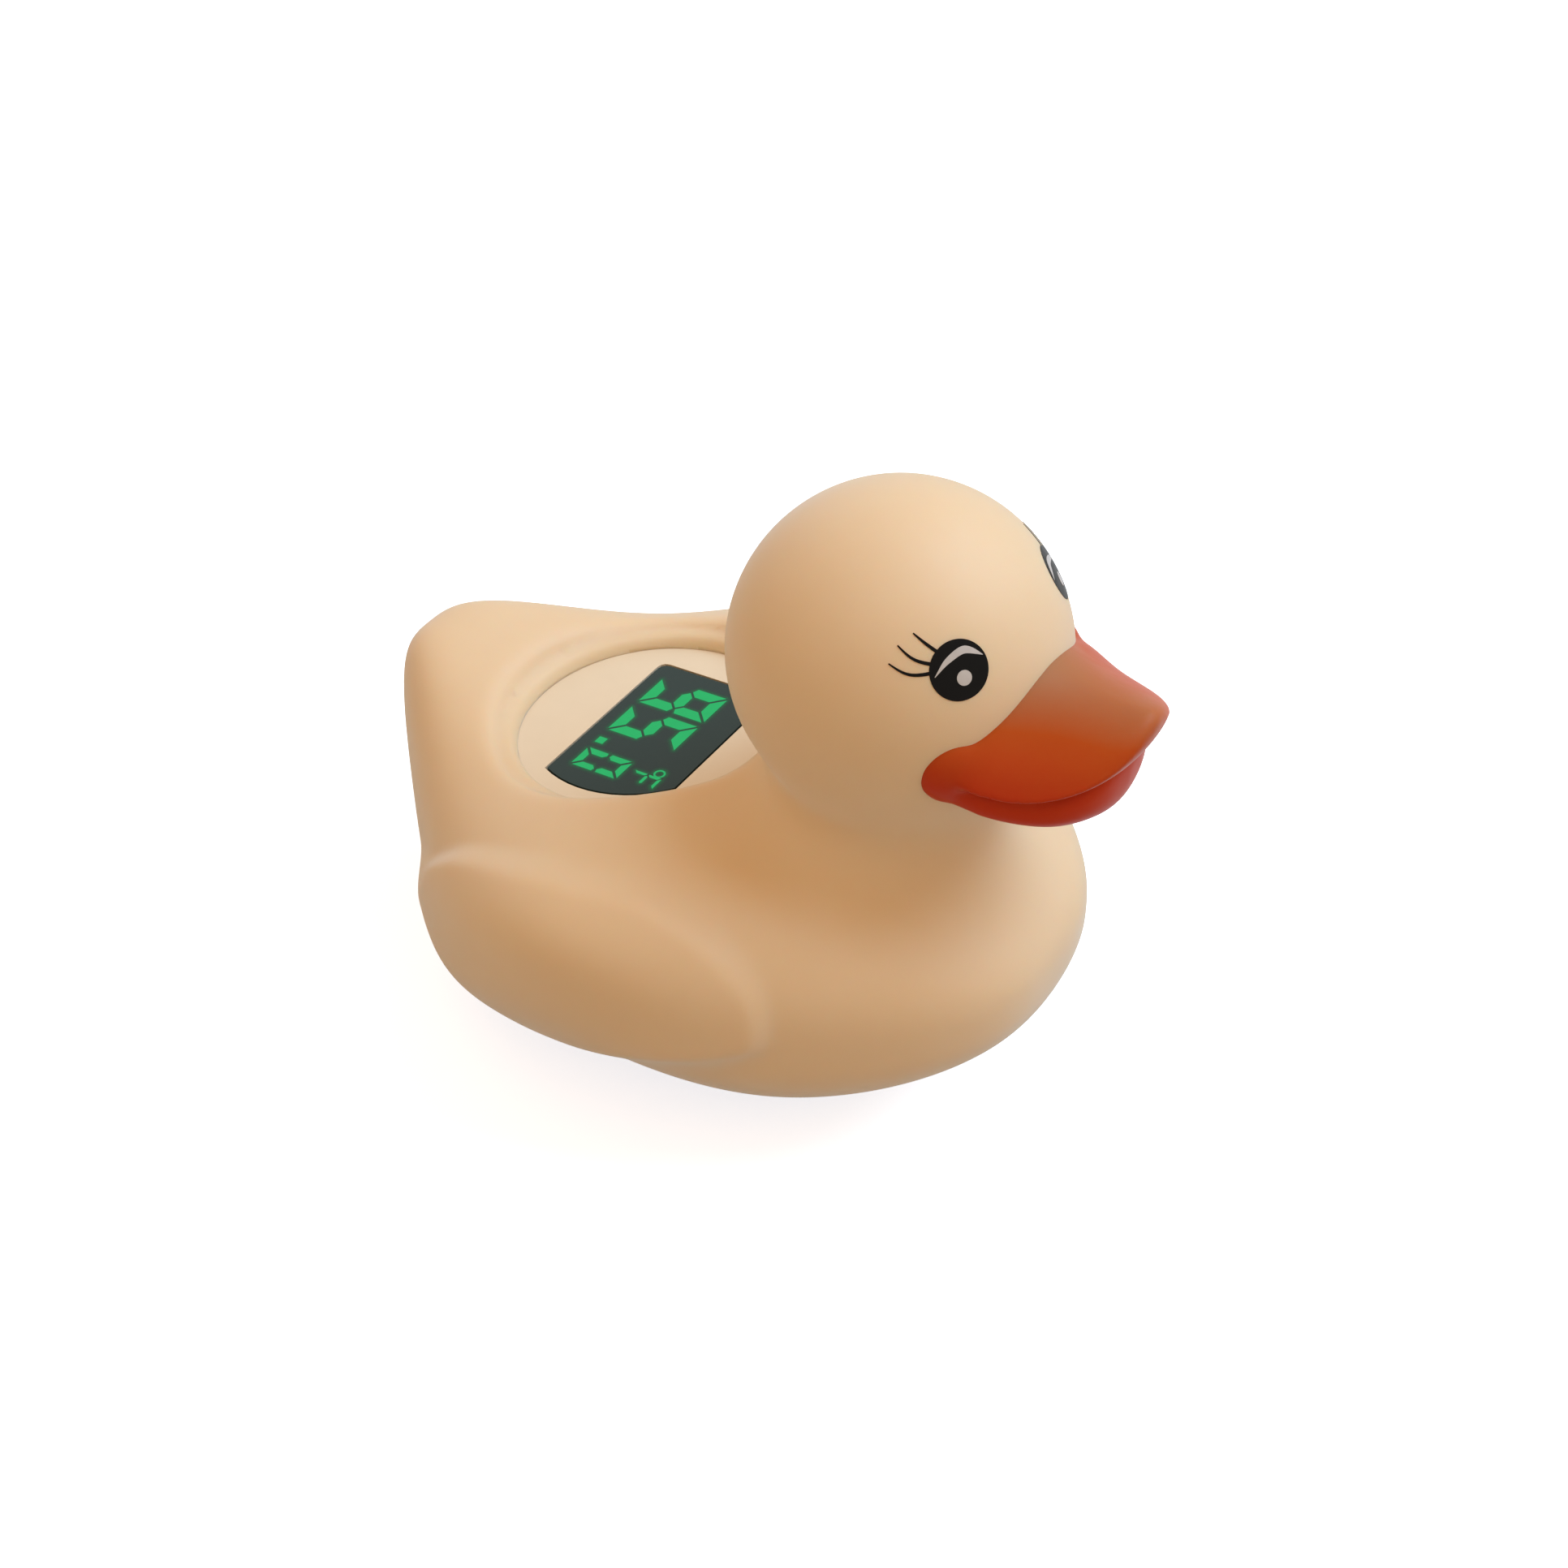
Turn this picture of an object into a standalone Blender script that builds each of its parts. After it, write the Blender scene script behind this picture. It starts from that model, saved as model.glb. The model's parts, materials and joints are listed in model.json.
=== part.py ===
"""Baby bath thermometer: a soft vinyl duck with a sealed display capsule in its back.

Frame: +X toward the beak, +Y to the duck's left, +Z up, the floor at z = 0.
All dimensions are in millimetres here and become metres when a mesh is made.
Sections are laid out from a working origin; the last step moves everything along X.
"""
import math

import bmesh
import bpy
import numpy as np
from mathutils import Matrix, Vector

MM = 0.001
GAP = 0.3

# Body: superellipse sections along X, given at five even stations from tail to chest.
BODY_REAR = -58.7
BODY_LENGTH = 98.2
BODY_REAR_ROUND = 2.97
BODY_FRONT_ROUND = 2.85
BODY_HALF_WIDTH = (11.4, 29.4, 38.7, 33.8, 25.5)
BODY_TOP = (51.6, 39.0, 42.8, 41.8, 37.6)
BODY_BOTTOM = (5.6, 2.4, 0.3, 1.5, 9.5)
BODY_MIDDLE = (26.4, 15.0, 28.8, 22.8, 23.5)
BODY_TOP_ROUND = 3.19
BODY_BOTTOM_ROUND = 2.0

# Head: a ball that melts into the body with a soft neck.
HEAD_X = 16.2
HEAD_Z = 63.9
HEAD_RADIUS = 20.1
JAW_BLEND = 5.0
NECK_RADIUS = 13.6
NECK_BLEND = 9.0

# Wing relief on each side, as an outline in the side view.
WING_OUTLINE = (
    (-50.0, 22.0), (-42.0, 30.0), (-32.0, 35.5), (-20.0, 39.0), (-8.0, 40.5), (3.0, 40.0),
    (12.0, 37.0), (17.5, 31.0), (18.0, 25.5), (12.0, 22.0), (2.0, 18.0), (-8.0, 12.5),
    (-20.0, 8.0), (-34.0, 7.0), (-46.0, 12.0),
)
WING_HEIGHT = 1.4
WING_EDGE = 6.0

WALL = 2.4

# Spine of the casting: upright sections, a fan about the nape, then level sections.
NAPE_X = -6.0
NAPE_Z = 50.0
FAN_NEAR = 28.0
FAN_FAR = 22.2

# Display well, square to the tilted face of the capsule.
FACE_X = -19.6
FACE_Z = 35.6
FACE_PITCH = math.radians(5.8)
WELL_RADIUS = 19.1
WELL_WALL = 2.3
WELL_FLOOR = -3.0
WELL_LIP_START = 2.2
WELL_LIP = 3.2
WELL_TOP = 7.4

# Capsule column and base, upright. The flange stands out past the hole; the column sits on the spigot.
COLUMN_X = -17.0
BASE_RADIUS = 16.0
FLANGE_LAND = 2.4
COLUMN_WALL = 1.5
BASE_HOLE = BASE_RADIUS + GAP
BASE_FLANGE_RADIUS = BASE_RADIUS + FLANGE_LAND
BASE_FLANGE_LOW = 7.9
BASE_FLANGE_HIGH = 9.4
BASE_TOP = 11.8
COLUMN_INNER = BASE_RADIUS - COLUMN_WALL
SPIGOT_RADIUS = COLUMN_INNER - GAP

# Capsule cup, in the well: its ledge carries the board.
CUP_WALL = 1.5
LEDGE_LAND = 2.7
CUP_RADIUS = WELL_RADIUS - GAP
CUP_BORE = CUP_RADIUS - CUP_WALL
CUP_LEDGE = CUP_BORE - LEDGE_LAND
LEDGE_DEPTH = -6.0
CUP_FLOOR = -8.6
CUP_BOTTOM = -10.1

# Battery, its contacts, the door, its seal and screws, and the pins through the base.
PIN_INSET = 2.45
EAR_INSET = 3.1
CELL_INSET = 6.0
DOOR_LAND = 1.4
PIN_REACH = BASE_RADIUS - PIN_INSET
PIN_RADIUS = 1.0
EAR_REACH = BASE_RADIUS - EAR_INSET
EAR_RADIUS = 2.35
CELL_RADIUS = BASE_RADIUS - CELL_INSET
DOOR_RADIUS = CELL_RADIUS + DOOR_LAND
DOOR_LOW = 0.35
DOOR_HIGH = 1.65
SCREW_RADIUS = 0.8
SCREW_HEAD = 1.5
SCREW_TOP = 7.9
SEAL_RADIUS = 0.37
CELL_HEIGHT = 3.2
CONTACT_INSET = 1.4
CONTACT_THICK = 0.3
CELL_LOW = DOOR_HIGH + 0.9
PLATE_HIGH = CELL_LOW + CELL_HEIGHT + GAP + CONTACT_THICK

# Leads: their radius, the battery pair's reach from the column's axis, and the pads of the others.
WIRE_RADIUS = 0.4
WIRE_REACH = 7.5
WIRE_HOLE_X = 4.0
WIRE_HOLE_RADIUS = 4.5
PIN_PADS = ((4.0, 2.8), (4.0, -2.8), (6.8, 0.0))

# Display: the disc, the window in it and the digits behind it, on the tilted face.
DISC_INSET = 0.6
FILM_INSET = 0.7
BOARD_INSET = 0.9
DISC_RADIUS = WELL_RADIUS - DISC_INSET
DISC_THICK = 0.9
WINDOW_REAR = -7.6
WINDOW_FRONT = 9.9
WINDOW_LEFT = 12.4
WINDOW_ARC_X = -1.5
WINDOW_ARC_RADIUS = 14.6
WINDOW_CORNER = 1.2
DIGIT_BASE = -5.2
DIGIT_HEIGHT = 10.2
DIGIT_WIDTH = 5.5
DIGIT_LEFTS = (9.2, 2.5)
DIGIT_BAR = 1.35
SMALL_BASE = -4.9
SMALL_HEIGHT = 6.8
SMALL_WIDTH = 3.6
SMALL_LEFT = -7.3
SMALL_BAR = 0.9
POINT_SIDE = 1.2
POINT_LEFT = -4.7
DEGREE_X = 6.5
DEGREE_Y = -7.1
DEGREE_RADIUS = 0.65
LETTER_BASE = 3.3
LETTER_HEIGHT = 4.0
LETTER_WIDTH = 2.0
LETTER_LEFT = -8.3
LETTER_BAR = 0.55

# Beak: plan half-widths and heights at stations along X.
BILL_X = (22.0, 26.0, 30.0, 34.0, 38.0, 42.0, 45.4, 47.8, 49.1, 49.6)
BILL_WIDE = (15.2, 15.5, 15.2, 14.2, 12.9, 11.2, 8.9, 6.0, 3.0, 0.0)
BILL_LIP = (60.4, 60.5, 60.8, 61.0, 60.7, 61.5, 62.9, 64.4, 65.9, 66.9)
BILL_RIDGE = (69.4, 69.6, 69.7, 69.6, 69.1, 68.7, 68.7, 68.7, 68.2, 67.1)
BILL_ROUND = (2.2, 2.2, 2.15, 1.95, 1.75, 1.65, 1.6, 1.6, 1.7)
LIP_ROLL = 1.5
LOWER_X = (22.0, 26.0, 30.0, 34.0, 38.0, 41.8, 44.4, 45.9, 46.4)
LOWER_WIDE = (14.6, 15.0, 14.6, 13.5, 12.2, 10.3, 7.6, 4.2, 0.0)
LOWER_MIDDLE = (58.8, 58.8, 58.5, 58.0, 57.7, 57.8, 58.3, 58.9, 59.4)
LOWER_UP = (3.9, 3.9, 3.8, 3.7, 3.5, 3.3, 3.2, 2.9)
LOWER_DOWN = (4.6, 4.4, 4.2, 4.0, 3.8, 3.8, 3.7, 3.0)

# Eyes, printed on the head: position of the right one as a direction from the head centre.
EYE_AZIMUTH = math.radians(-38.0)
EYE_RISE = math.radians(29.9)
EYE_TILT = math.radians(-12.0)
EYE_HALF_WIDE = 3.15
EYE_HALF_HIGH = 3.35
EYE_FILM = 0.25
LASHES = (
    ((2.0, 2.35), (3.2, 3.7), (4.3, 4.9)),
    ((2.95, 1.27), (5.6, 2.7), (6.2, 3.9)),
    ((3.2, 0.3), (5.8, 0.65), (7.5, 2.1)),
)
LASH_WIDTH = 0.34
LASH_STEPS = 6
LASH_ROOT = 0.86

# White marks on each eye: the crescent as (across, up, width), the dot as (across, up, radius).
CRESCENT = (
    (2.85, -0.25, 0.1), (1.9, 0.7, 0.4), (1.03, 1.37, 0.65), (-0.24, 2.0, 0.8), (-1.17, 2.05, 0.8),
    (-2.07, 1.65, 0.53), (-2.9, 1.15, 0.1),
)
DOT = (-0.4, -0.9, 0.86)


def smooth_min(a, b, k):
    h = np.clip(0.5 + 0.5 * (b - a) / k, 0.0, 1.0)
    return b + (a - b) * h - k * h * (1.0 - h)


def spline(xs, ys):
    """Natural cubic through the points, as a function."""
    xs = np.asarray(xs, float)
    ys = np.asarray(ys, float)
    n = len(xs)
    h = np.diff(xs)
    a = np.eye(n)
    b = np.zeros(n)
    for i in range(1, n - 1):
        a[i, i - 1] = h[i - 1]
        a[i, i] = 2.0 * (h[i - 1] + h[i])
        a[i, i + 1] = h[i]
        b[i] = 6.0 * ((ys[i + 1] - ys[i]) / h[i] - (ys[i] - ys[i - 1]) / h[i - 1])
    m = np.linalg.solve(a, b)

    def value(x):
        x = np.clip(np.asarray(x, float), xs[0], xs[-1])
        i = np.clip(np.searchsorted(xs, x) - 1, 0, n - 2)
        left = x - xs[i]
        right = xs[i + 1] - x
        curve = (m[i] * right**3 + m[i + 1] * left**3) / (6.0 * h[i])
        low = (ys[i] / h[i] - m[i] * h[i] / 6.0) * right
        return curve + low + (ys[i + 1] / h[i] - m[i + 1] * h[i] / 6.0) * left

    return value


STATIONS = np.linspace(0.0, 1.0, 5)
half_width = spline(STATIONS, BODY_HALF_WIDTH)
top_height = spline(STATIONS, BODY_TOP)
bottom_height = spline(STATIONS, BODY_BOTTOM)
middle_height = spline(STATIONS, BODY_MIDDLE)


def body_level(p):
    """1 on the body, less inside."""
    u = (p[..., 0] - BODY_REAR) / BODY_LENGTH
    uc = np.clip(u, 0.0, 1.0)
    middle = middle_height(uc)
    dz = p[..., 2] - middle
    up = dz >= 0.0
    high = np.where(up, top_height(uc) - middle, middle - bottom_height(uc))
    n = np.where(up, BODY_TOP_ROUND, BODY_BOTTOM_ROUND)
    section = (np.abs(p[..., 1] / half_width(uc)) ** n + np.abs(dz / high) ** n) ** (1.0 / n)
    k = 2.0 * u - 1.0
    e = np.where(k < 0.0, BODY_REAR_ROUND, BODY_FRONT_ROUND)
    return (np.abs(k) ** e + section**e) ** (1.0 / e)


def body_distance(p):
    g = body_level(p)
    step = 0.2
    slope = np.zeros(p.shape)
    for axis in range(3):
        moved = p.copy()
        moved[..., axis] += step
        slope[..., axis] = (body_level(moved) - g) / step
    return (g - 1.0) / np.maximum(np.linalg.norm(slope, axis=-1), 1e-3)


def outline_distance(x, z, outline):
    """Distance to a closed outline, negative inside it."""
    pts = np.asarray(outline, float)
    nxt = np.roll(pts, -1, axis=0)
    best = np.full(x.shape, 1e9)
    inside = np.zeros(x.shape, bool)
    for (ax, az), (bx, bz) in zip(pts, nxt):
        ex, ez = bx - ax, bz - az
        t = np.clip(((x - ax) * ex + (z - az) * ez) / (ex * ex + ez * ez), 0.0, 1.0)
        best = np.minimum(best, np.hypot(x - ax - t * ex, z - az - t * ez))
        crosses = (az > z) != (bz > z)
        at = ax + (z - az) * ex / (ez if abs(ez) > 1e-9 else 1e-9)
        inside ^= crosses & (x < at)
    return np.where(inside, -best, best)


def wing_relief(p):
    """How far the wing stands proud of the body at a point."""
    d = outline_distance(p[..., 0], p[..., 2], WING_OUTLINE)
    s = np.clip(-d / WING_EDGE, 0.0, 1.0)
    side = np.clip((np.abs(p[..., 1]) - 12.0) / 8.0, 0.0, 1.0)
    return WING_HEIGHT * s * s * (3.0 - 2.0 * s) * side


def duck_distance(p, wings):
    body = body_distance(p)
    if wings:
        body = body - wing_relief(p)
    head = np.linalg.norm(p - np.array((HEAD_X, 0.0, HEAD_Z)), axis=-1) - HEAD_RADIUS
    neck = np.hypot(p[..., 0] - HEAD_X, p[..., 1]) - NECK_RADIUS
    neck = np.maximum(neck, np.abs(p[..., 2] - 45.0) - 15.0)
    return smooth_min(body, smooth_min(head, neck, JAW_BLEND), NECK_BLEND)


def sections(upright, fan, level):
    """Centres and in-plane axes of the spine's sections, tail to crown."""
    found = []
    reach = NAPE_X - BODY_REAR
    for i in range(1, upright + 1):
        x = NAPE_X - reach * math.cos(0.5 * math.pi * i / (upright + 0.35))
        found.append(((x, 0.0, NAPE_Z - FAN_NEAR), (0.0, 0.0, 1.0)))
    for i in range(fan):
        t = (i + 0.5) / fan
        a = 0.5 * math.pi * t
        far = FAN_NEAR + (FAN_FAR - FAN_NEAR) * t
        centre = (NAPE_X + far * math.sin(a), 0.0, NAPE_Z - far * math.cos(a))
        found.append((centre, (-math.sin(a), 0.0, math.cos(a))))
    start = math.asin((NAPE_Z - HEAD_Z) / HEAD_RADIUS)
    for i in range(level):
        a = start + (0.5 * math.pi - start) * i / level
        z = HEAD_Z + HEAD_RADIUS * math.sin(a)
        found.append(((HEAD_X, 0.0, z), (-1.0, 0.0, 0.0)))
    return found


def cast_skin(upright, fan, level, around, inset=0.0, wings=True):
    """Rings of points where rays from the spine leave the duck's skin."""
    rings = []
    angles = 2.0 * math.pi * np.arange(around) / around
    for centre, up in sections(upright, fan, level):
        centre = np.array(centre)
        rays = np.outer(np.cos(angles), (0.0, 1.0, 0.0)) + np.outer(np.sin(angles), up)
        steps = np.linspace(0.0, 62.0, 94)
        grid = centre + steps[:, None, None] * rays[None]
        outside = duck_distance(grid, wings) > -inset
        outside[-1] = True
        first = np.maximum(np.argmax(outside, axis=0), 1)
        low = steps[first - 1]
        high = steps[first]
        for _ in range(22):
            middle = 0.5 * (low + high)
            out = duck_distance(centre + middle[:, None] * rays, wings) > -inset
            high = np.where(out, middle, high)
            low = np.where(out, low, middle)
        rings.append(centre + low[:, None] * rays)
    tail = np.array((BODY_REAR + inset, 0.0, NAPE_Z - FAN_NEAR))
    crown = np.array((HEAD_X, 0.0, HEAD_Z + HEAD_RADIUS - inset))
    return tail, rings, crown


def loft(name, start, rings, end, material):
    """One closed skin over rings of equal count, closed by a point at each end."""
    bm = bmesh.new()
    first = bm.verts.new(Vector(start) * MM)
    rows = [[bm.verts.new(Vector(p) * MM) for p in ring] for ring in rings]
    last = bm.verts.new(Vector(end) * MM)
    count = len(rows[0])
    for j in range(count):
        k = (j + 1) % count
        bm.faces.new((first, rows[0][k], rows[0][j]))
        bm.faces.new((last, rows[-1][j], rows[-1][k]))
        for a, b in zip(rows[:-1], rows[1:]):
            bm.faces.new((a[j], a[k], b[k], b[j]))
    bmesh.ops.triangulate(bm, faces=bm.faces, quad_method="SHORT_EDGE")
    return finish(name, bm, material)


def finish(name, bm, material, matrix=None):
    if matrix is not None:
        bm.transform(matrix)
    bmesh.ops.recalc_face_normals(bm, faces=bm.faces)
    mesh = bpy.data.meshes.new(name)
    bm.to_mesh(mesh)
    bm.free()
    if material is not None:
        mesh.materials.append(material)
    obj = bpy.data.objects.new(name, mesh)
    PARTS.objects.link(obj)
    return obj


def paint(name, colour, roughness, metallic=0.0, transmission=0.0):
    material = bpy.data.materials.new(name)
    material.use_nodes = True
    shader = material.node_tree.nodes["Principled BSDF"]
    shader.inputs["Base Color"].default_value = (*colour, 1.0)
    shader.inputs["Roughness"].default_value = roughness
    shader.inputs["Metallic"].default_value = metallic
    shader.inputs["Transmission Weight"].default_value = transmission
    material.diffuse_color = (*colour, 1.0)
    return material


def cylinder(name, radius, low, high, at=(0.0, 0.0), segments=48, material=None, matrix=None, turn=0.0):
    bm = bmesh.new()
    place = Matrix.Translation((at[0] * MM, at[1] * MM, 0.5 * (low + high) * MM))
    bmesh.ops.create_cone(
        bm,
        cap_ends=True,
        segments=segments,
        radius1=radius * MM,
        radius2=radius * MM,
        depth=(high - low) * MM,
        matrix=place @ Matrix.Rotation(turn, 4, "Z"),
    )
    return finish(name, bm, material, matrix)


def box(name, size, at, material=None, matrix=None, bevel=0.0):
    bm = bmesh.new()
    scale = Matrix.Diagonal((size[0] * MM, size[1] * MM, size[2] * MM, 1.0))
    bmesh.ops.create_cube(bm, size=1.0, matrix=scale)
    if bevel:
        bmesh.ops.bevel(bm, geom=bm.edges[:], offset=bevel * MM, segments=1, affect="EDGES", profile=0.5)
    bmesh.ops.translate(bm, verts=bm.verts, vec=Vector(at) * MM)
    return finish(name, bm, material, matrix)


def turned(name, profile, segments=48, at=(0.0, 0.0), material=None, matrix=None):
    """Solid of revolution from a profile of (radius, height) points, top to bottom on the outside."""
    bm = bmesh.new()
    verts = [bm.verts.new((r * MM, 0.0, z * MM)) for r, z in profile]
    edges = [bm.edges.new(pair) for pair in zip(verts[:-1], verts[1:])]
    if profile[0][0] > 1e-6:
        edges.append(bm.edges.new((verts[-1], verts[0])))
    bmesh.ops.spin(
        bm,
        geom=verts + edges,
        cent=(0, 0, 0),
        axis=(0, 0, 1),
        angle=2.0 * math.pi,
        steps=segments,
        use_merge=True,
    )
    bmesh.ops.remove_doubles(bm, verts=bm.verts, dist=1e-6)
    bmesh.ops.translate(bm, verts=bm.verts, vec=(at[0] * MM, at[1] * MM, 0.0))
    return finish(name, bm, material, matrix)


def prism(name, outline, low, high, material=None, matrix=None):
    bm = bmesh.new()
    face = bm.faces.new([bm.verts.new((x * MM, y * MM, low * MM)) for x, y in outline])
    pulled = bmesh.ops.extrude_face_region(bm, geom=[face])
    tops = [v for v in pulled["geom"] if isinstance(v, bmesh.types.BMVert)]
    bmesh.ops.translate(bm, verts=tops, vec=(0.0, 0.0, (high - low) * MM))
    return finish(name, bm, material, matrix)


def combine(target, operation, *others):
    """Applies exact booleans and removes the cutters."""
    for other in others:
        step = target.modifiers.new(other.name, "BOOLEAN")
        step.operation = operation
        step.solver = "EXACT"
        step.object = other
        bpy.context.view_layer.update()
        graph = bpy.context.evaluated_depsgraph_get()
        made = bpy.data.meshes.new_from_object(target.evaluated_get(graph))
        target.modifiers.clear()
        old = target.data
        target.data = made
        made.name = target.name
        bpy.data.meshes.remove(old)
        bpy.data.objects.remove(other)
    return target


def tidy(obj, distance=0.000002):
    bm = bmesh.new()
    bm.from_mesh(obj.data)
    bmesh.ops.remove_doubles(bm, verts=bm.verts, dist=distance)
    bmesh.ops.dissolve_degenerate(bm, edges=bm.edges, dist=distance)
    bm.to_mesh(obj.data)
    bm.free()
    return obj


def lead(name, points, radius, material):
    """A wire along a smooth path."""
    curve = bpy.data.curves.new(name, "CURVE")
    curve.dimensions = "3D"
    curve.bevel_depth = radius * MM
    curve.bevel_resolution = 1
    curve.use_fill_caps = True
    curve.resolution_u = 4
    path = curve.splines.new("BEZIER")
    path.bezier_points.add(len(points) - 1)
    for point, at in zip(path.bezier_points, points):
        point.co = Vector(at) * MM
        point.handle_left_type = "AUTO"
        point.handle_right_type = "AUTO"
    guide = bpy.data.objects.new(name + "_guide", curve)
    PARTS.objects.link(guide)
    bpy.context.view_layer.update()
    mesh = bpy.data.meshes.new_from_object(guide.evaluated_get(bpy.context.evaluated_depsgraph_get()))
    bpy.data.objects.remove(guide)
    bm = bmesh.new()
    bm.from_mesh(mesh)
    bpy.data.meshes.remove(mesh)
    bmesh.ops.remove_doubles(bm, verts=bm.verts, dist=1e-6)
    return finish(name, bm, material)


for old in list(bpy.data.objects):
    bpy.data.objects.remove(old)

PARTS = bpy.data.collections.new("baby_bath_thermometer")
CUTTERS = bpy.data.collections.new("cutters")
bpy.context.scene.collection.children.link(PARTS)
bpy.context.scene.collection.children.link(CUTTERS)
CUTTERS.hide_render = True

FACE = Matrix.Translation((FACE_X * MM, 0.0, FACE_Z * MM)) @ Matrix.Rotation(-FACE_PITCH, 4, "Y")

vinyl = paint("duck_vinyl", (0.80, 0.52, 0.30), 0.5)
beak_paint = paint("beak_paint", (0.62, 0.13, 0.02), 0.35)
ink = paint("eye_ink", (0.01, 0.01, 0.01), 0.35)
glint = paint("eye_white", (0.75, 0.72, 0.70), 0.4)
housing = paint("housing_plastic", (0.78, 0.56, 0.36), 0.45)
print_film = paint("face_print", (0.80, 0.60, 0.44), 0.3)
smoked = paint("window_plastic", (0.02, 0.035, 0.03), 0.1)
lit_film = paint("digit_film", (0.03, 0.45, 0.15), 0.4)
block = paint("reflector_plastic", (0.02, 0.02, 0.02), 0.5)
board = paint("board_laminate", (0.02, 0.18, 0.07), 0.5)
resin = paint("chip_resin", (0.02, 0.02, 0.02), 0.45)
steel = paint("steel", (0.6, 0.6, 0.6), 0.3, 1.0)
cell = paint("cell_steel", (0.65, 0.65, 0.63), 0.25, 1.0)
spring = paint("contact_metal", (0.7, 0.62, 0.42), 0.3, 1.0)
seal = paint("seal_rubber", (0.05, 0.05, 0.05), 0.8)
wire_red = paint("wire_red", (0.5, 0.02, 0.02), 0.5)
wire_black = paint("wire_black", (0.02, 0.02, 0.02), 0.5)
wire_white = paint("wire_white", (0.7, 0.7, 0.7), 0.5)


# Duck casting.
def well_profile():
    """Trumpet-mouthed cutter: straight wall, then a rounded lip that opens outward."""
    outline = [(0.0, WELL_TOP), (WELL_RADIUS + WELL_LIP, WELL_TOP)]
    for i in range(5):
        a = 0.5 * math.pi * (1.0 - i / 4.0)
        radius = WELL_RADIUS + WELL_LIP * (1.0 - math.cos(a))
        outline.append((radius, WELL_LIP_START + WELL_LIP * math.sin(a)))
    outline.append((WELL_RADIUS, WELL_FLOOR - 3.0))
    outline.append((0.0, WELL_FLOOR - 3.0))
    return outline


def bill_rings(xs, wides, middles, ups, downs, up_rounds, down_round, around):
    rings = []
    for x, w, m, up, down, up_round in zip(xs, wides, middles, ups, downs, up_rounds):
        ring = []
        for j in range(around):
            a = 2.0 * math.pi * j / around
            c, s = math.cos(a), math.sin(a)
            n = up_round if s >= 0.0 else down_round
            high = up if s >= 0.0 else down
            y = math.copysign(abs(c) ** (2.0 / n), c) * w
            z = m + math.copysign(abs(s) ** (2.0 / n), s) * high
            ring.append((x, y, z))
        rings.append(ring)
    return rings


shell = loft("duck_shell", *cast_skin(18, 12, 10, 40), vinyl)
bills = [h - l for h, l in zip(BILL_RIDGE, BILL_LIP)]
rolls = [LIP_ROLL * min(1.0, w / 5.0) for w in BILL_WIDE]
upper = bill_rings(BILL_X[:-1], BILL_WIDE[:-1], BILL_LIP, bills, rolls, BILL_ROUND, 2.0, 24)
upper_bill = loft(
    "upper_bill", (BILL_X[0], 0, 65.0), upper, (BILL_X[-1], 0, BILL_LIP[-1] + 0.1), beak_paint
)
rounds = [2.0] * len(LOWER_UP)
lower = bill_rings(LOWER_X[:-1], LOWER_WIDE[:-1], LOWER_MIDDLE, LOWER_UP, LOWER_DOWN, rounds, 2.0, 20)
lower_bill = loft("lower_bill", (LOWER_X[0], 0, 58.8), lower, (LOWER_X[-1], 0, LOWER_MIDDLE[-1]), beak_paint)
combine(shell, "UNION", upper_bill, lower_bill)
void = loft("void", *cast_skin(13, 8, 7, 28, inset=WALL, wings=False), None)
collar = cylinder("collar", WELL_RADIUS + WELL_WALL, WELL_FLOOR, 20.0, segments=40, matrix=FACE)
combine(void, "DIFFERENCE", collar)
well = turned("well", well_profile(), 40, matrix=FACE)
base_hole = cylinder("base_hole", BASE_HOLE, -5.0, 9.0, (COLUMN_X, 0.0), 40)
combine(shell, "DIFFERENCE", void, well, base_hole)
tidy(shell)


# Eyes: a thin print film laid on the head.
def on_head(points, side, height):
    """Places flat (across, up) eye points on the ball, `height` above it."""
    azimuth = EYE_AZIMUTH * side
    flat = math.cos(EYE_RISE)
    out = Vector((flat * math.cos(azimuth), flat * math.sin(azimuth), math.sin(EYE_RISE)))
    across = Vector((0.0, 0.0, 1.0)).cross(out).normalized() * -side
    up = Vector((0.0, 0.0, 1.0)) - out * out.z
    up.normalize()
    centre = Vector((HEAD_X, 0.0, HEAD_Z))
    placed = []
    for a, b in points:
        reach = math.hypot(a, b) / HEAD_RADIUS
        way = (across * a + up * b).normalized() if reach > 1e-9 else up
        placed.append(centre + (out * math.cos(reach) + way * math.sin(reach)) * (HEAD_RADIUS + height))
    return placed


def film(name, bm, side, low, material):
    """Closes a flat grid of faces into a film of even thickness on the head."""
    flat = [(v.co.x, v.co.y) for v in bm.verts]
    for vert, at in zip(bm.verts, on_head(flat, side, low)):
        vert.co = at * MM
    bm.normal_update()
    grown = bmesh.ops.extrude_face_region(bm, geom=bm.faces[:], use_keep_orig=True)
    raised = [v for v in grown["geom"] if isinstance(v, bmesh.types.BMVert)]
    centre = Vector((HEAD_X, 0.0, HEAD_Z)) * MM
    for v in raised:
        v.co += (v.co - centre).normalized() * EYE_FILM * MM
    return finish(name, bm, material)


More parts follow.
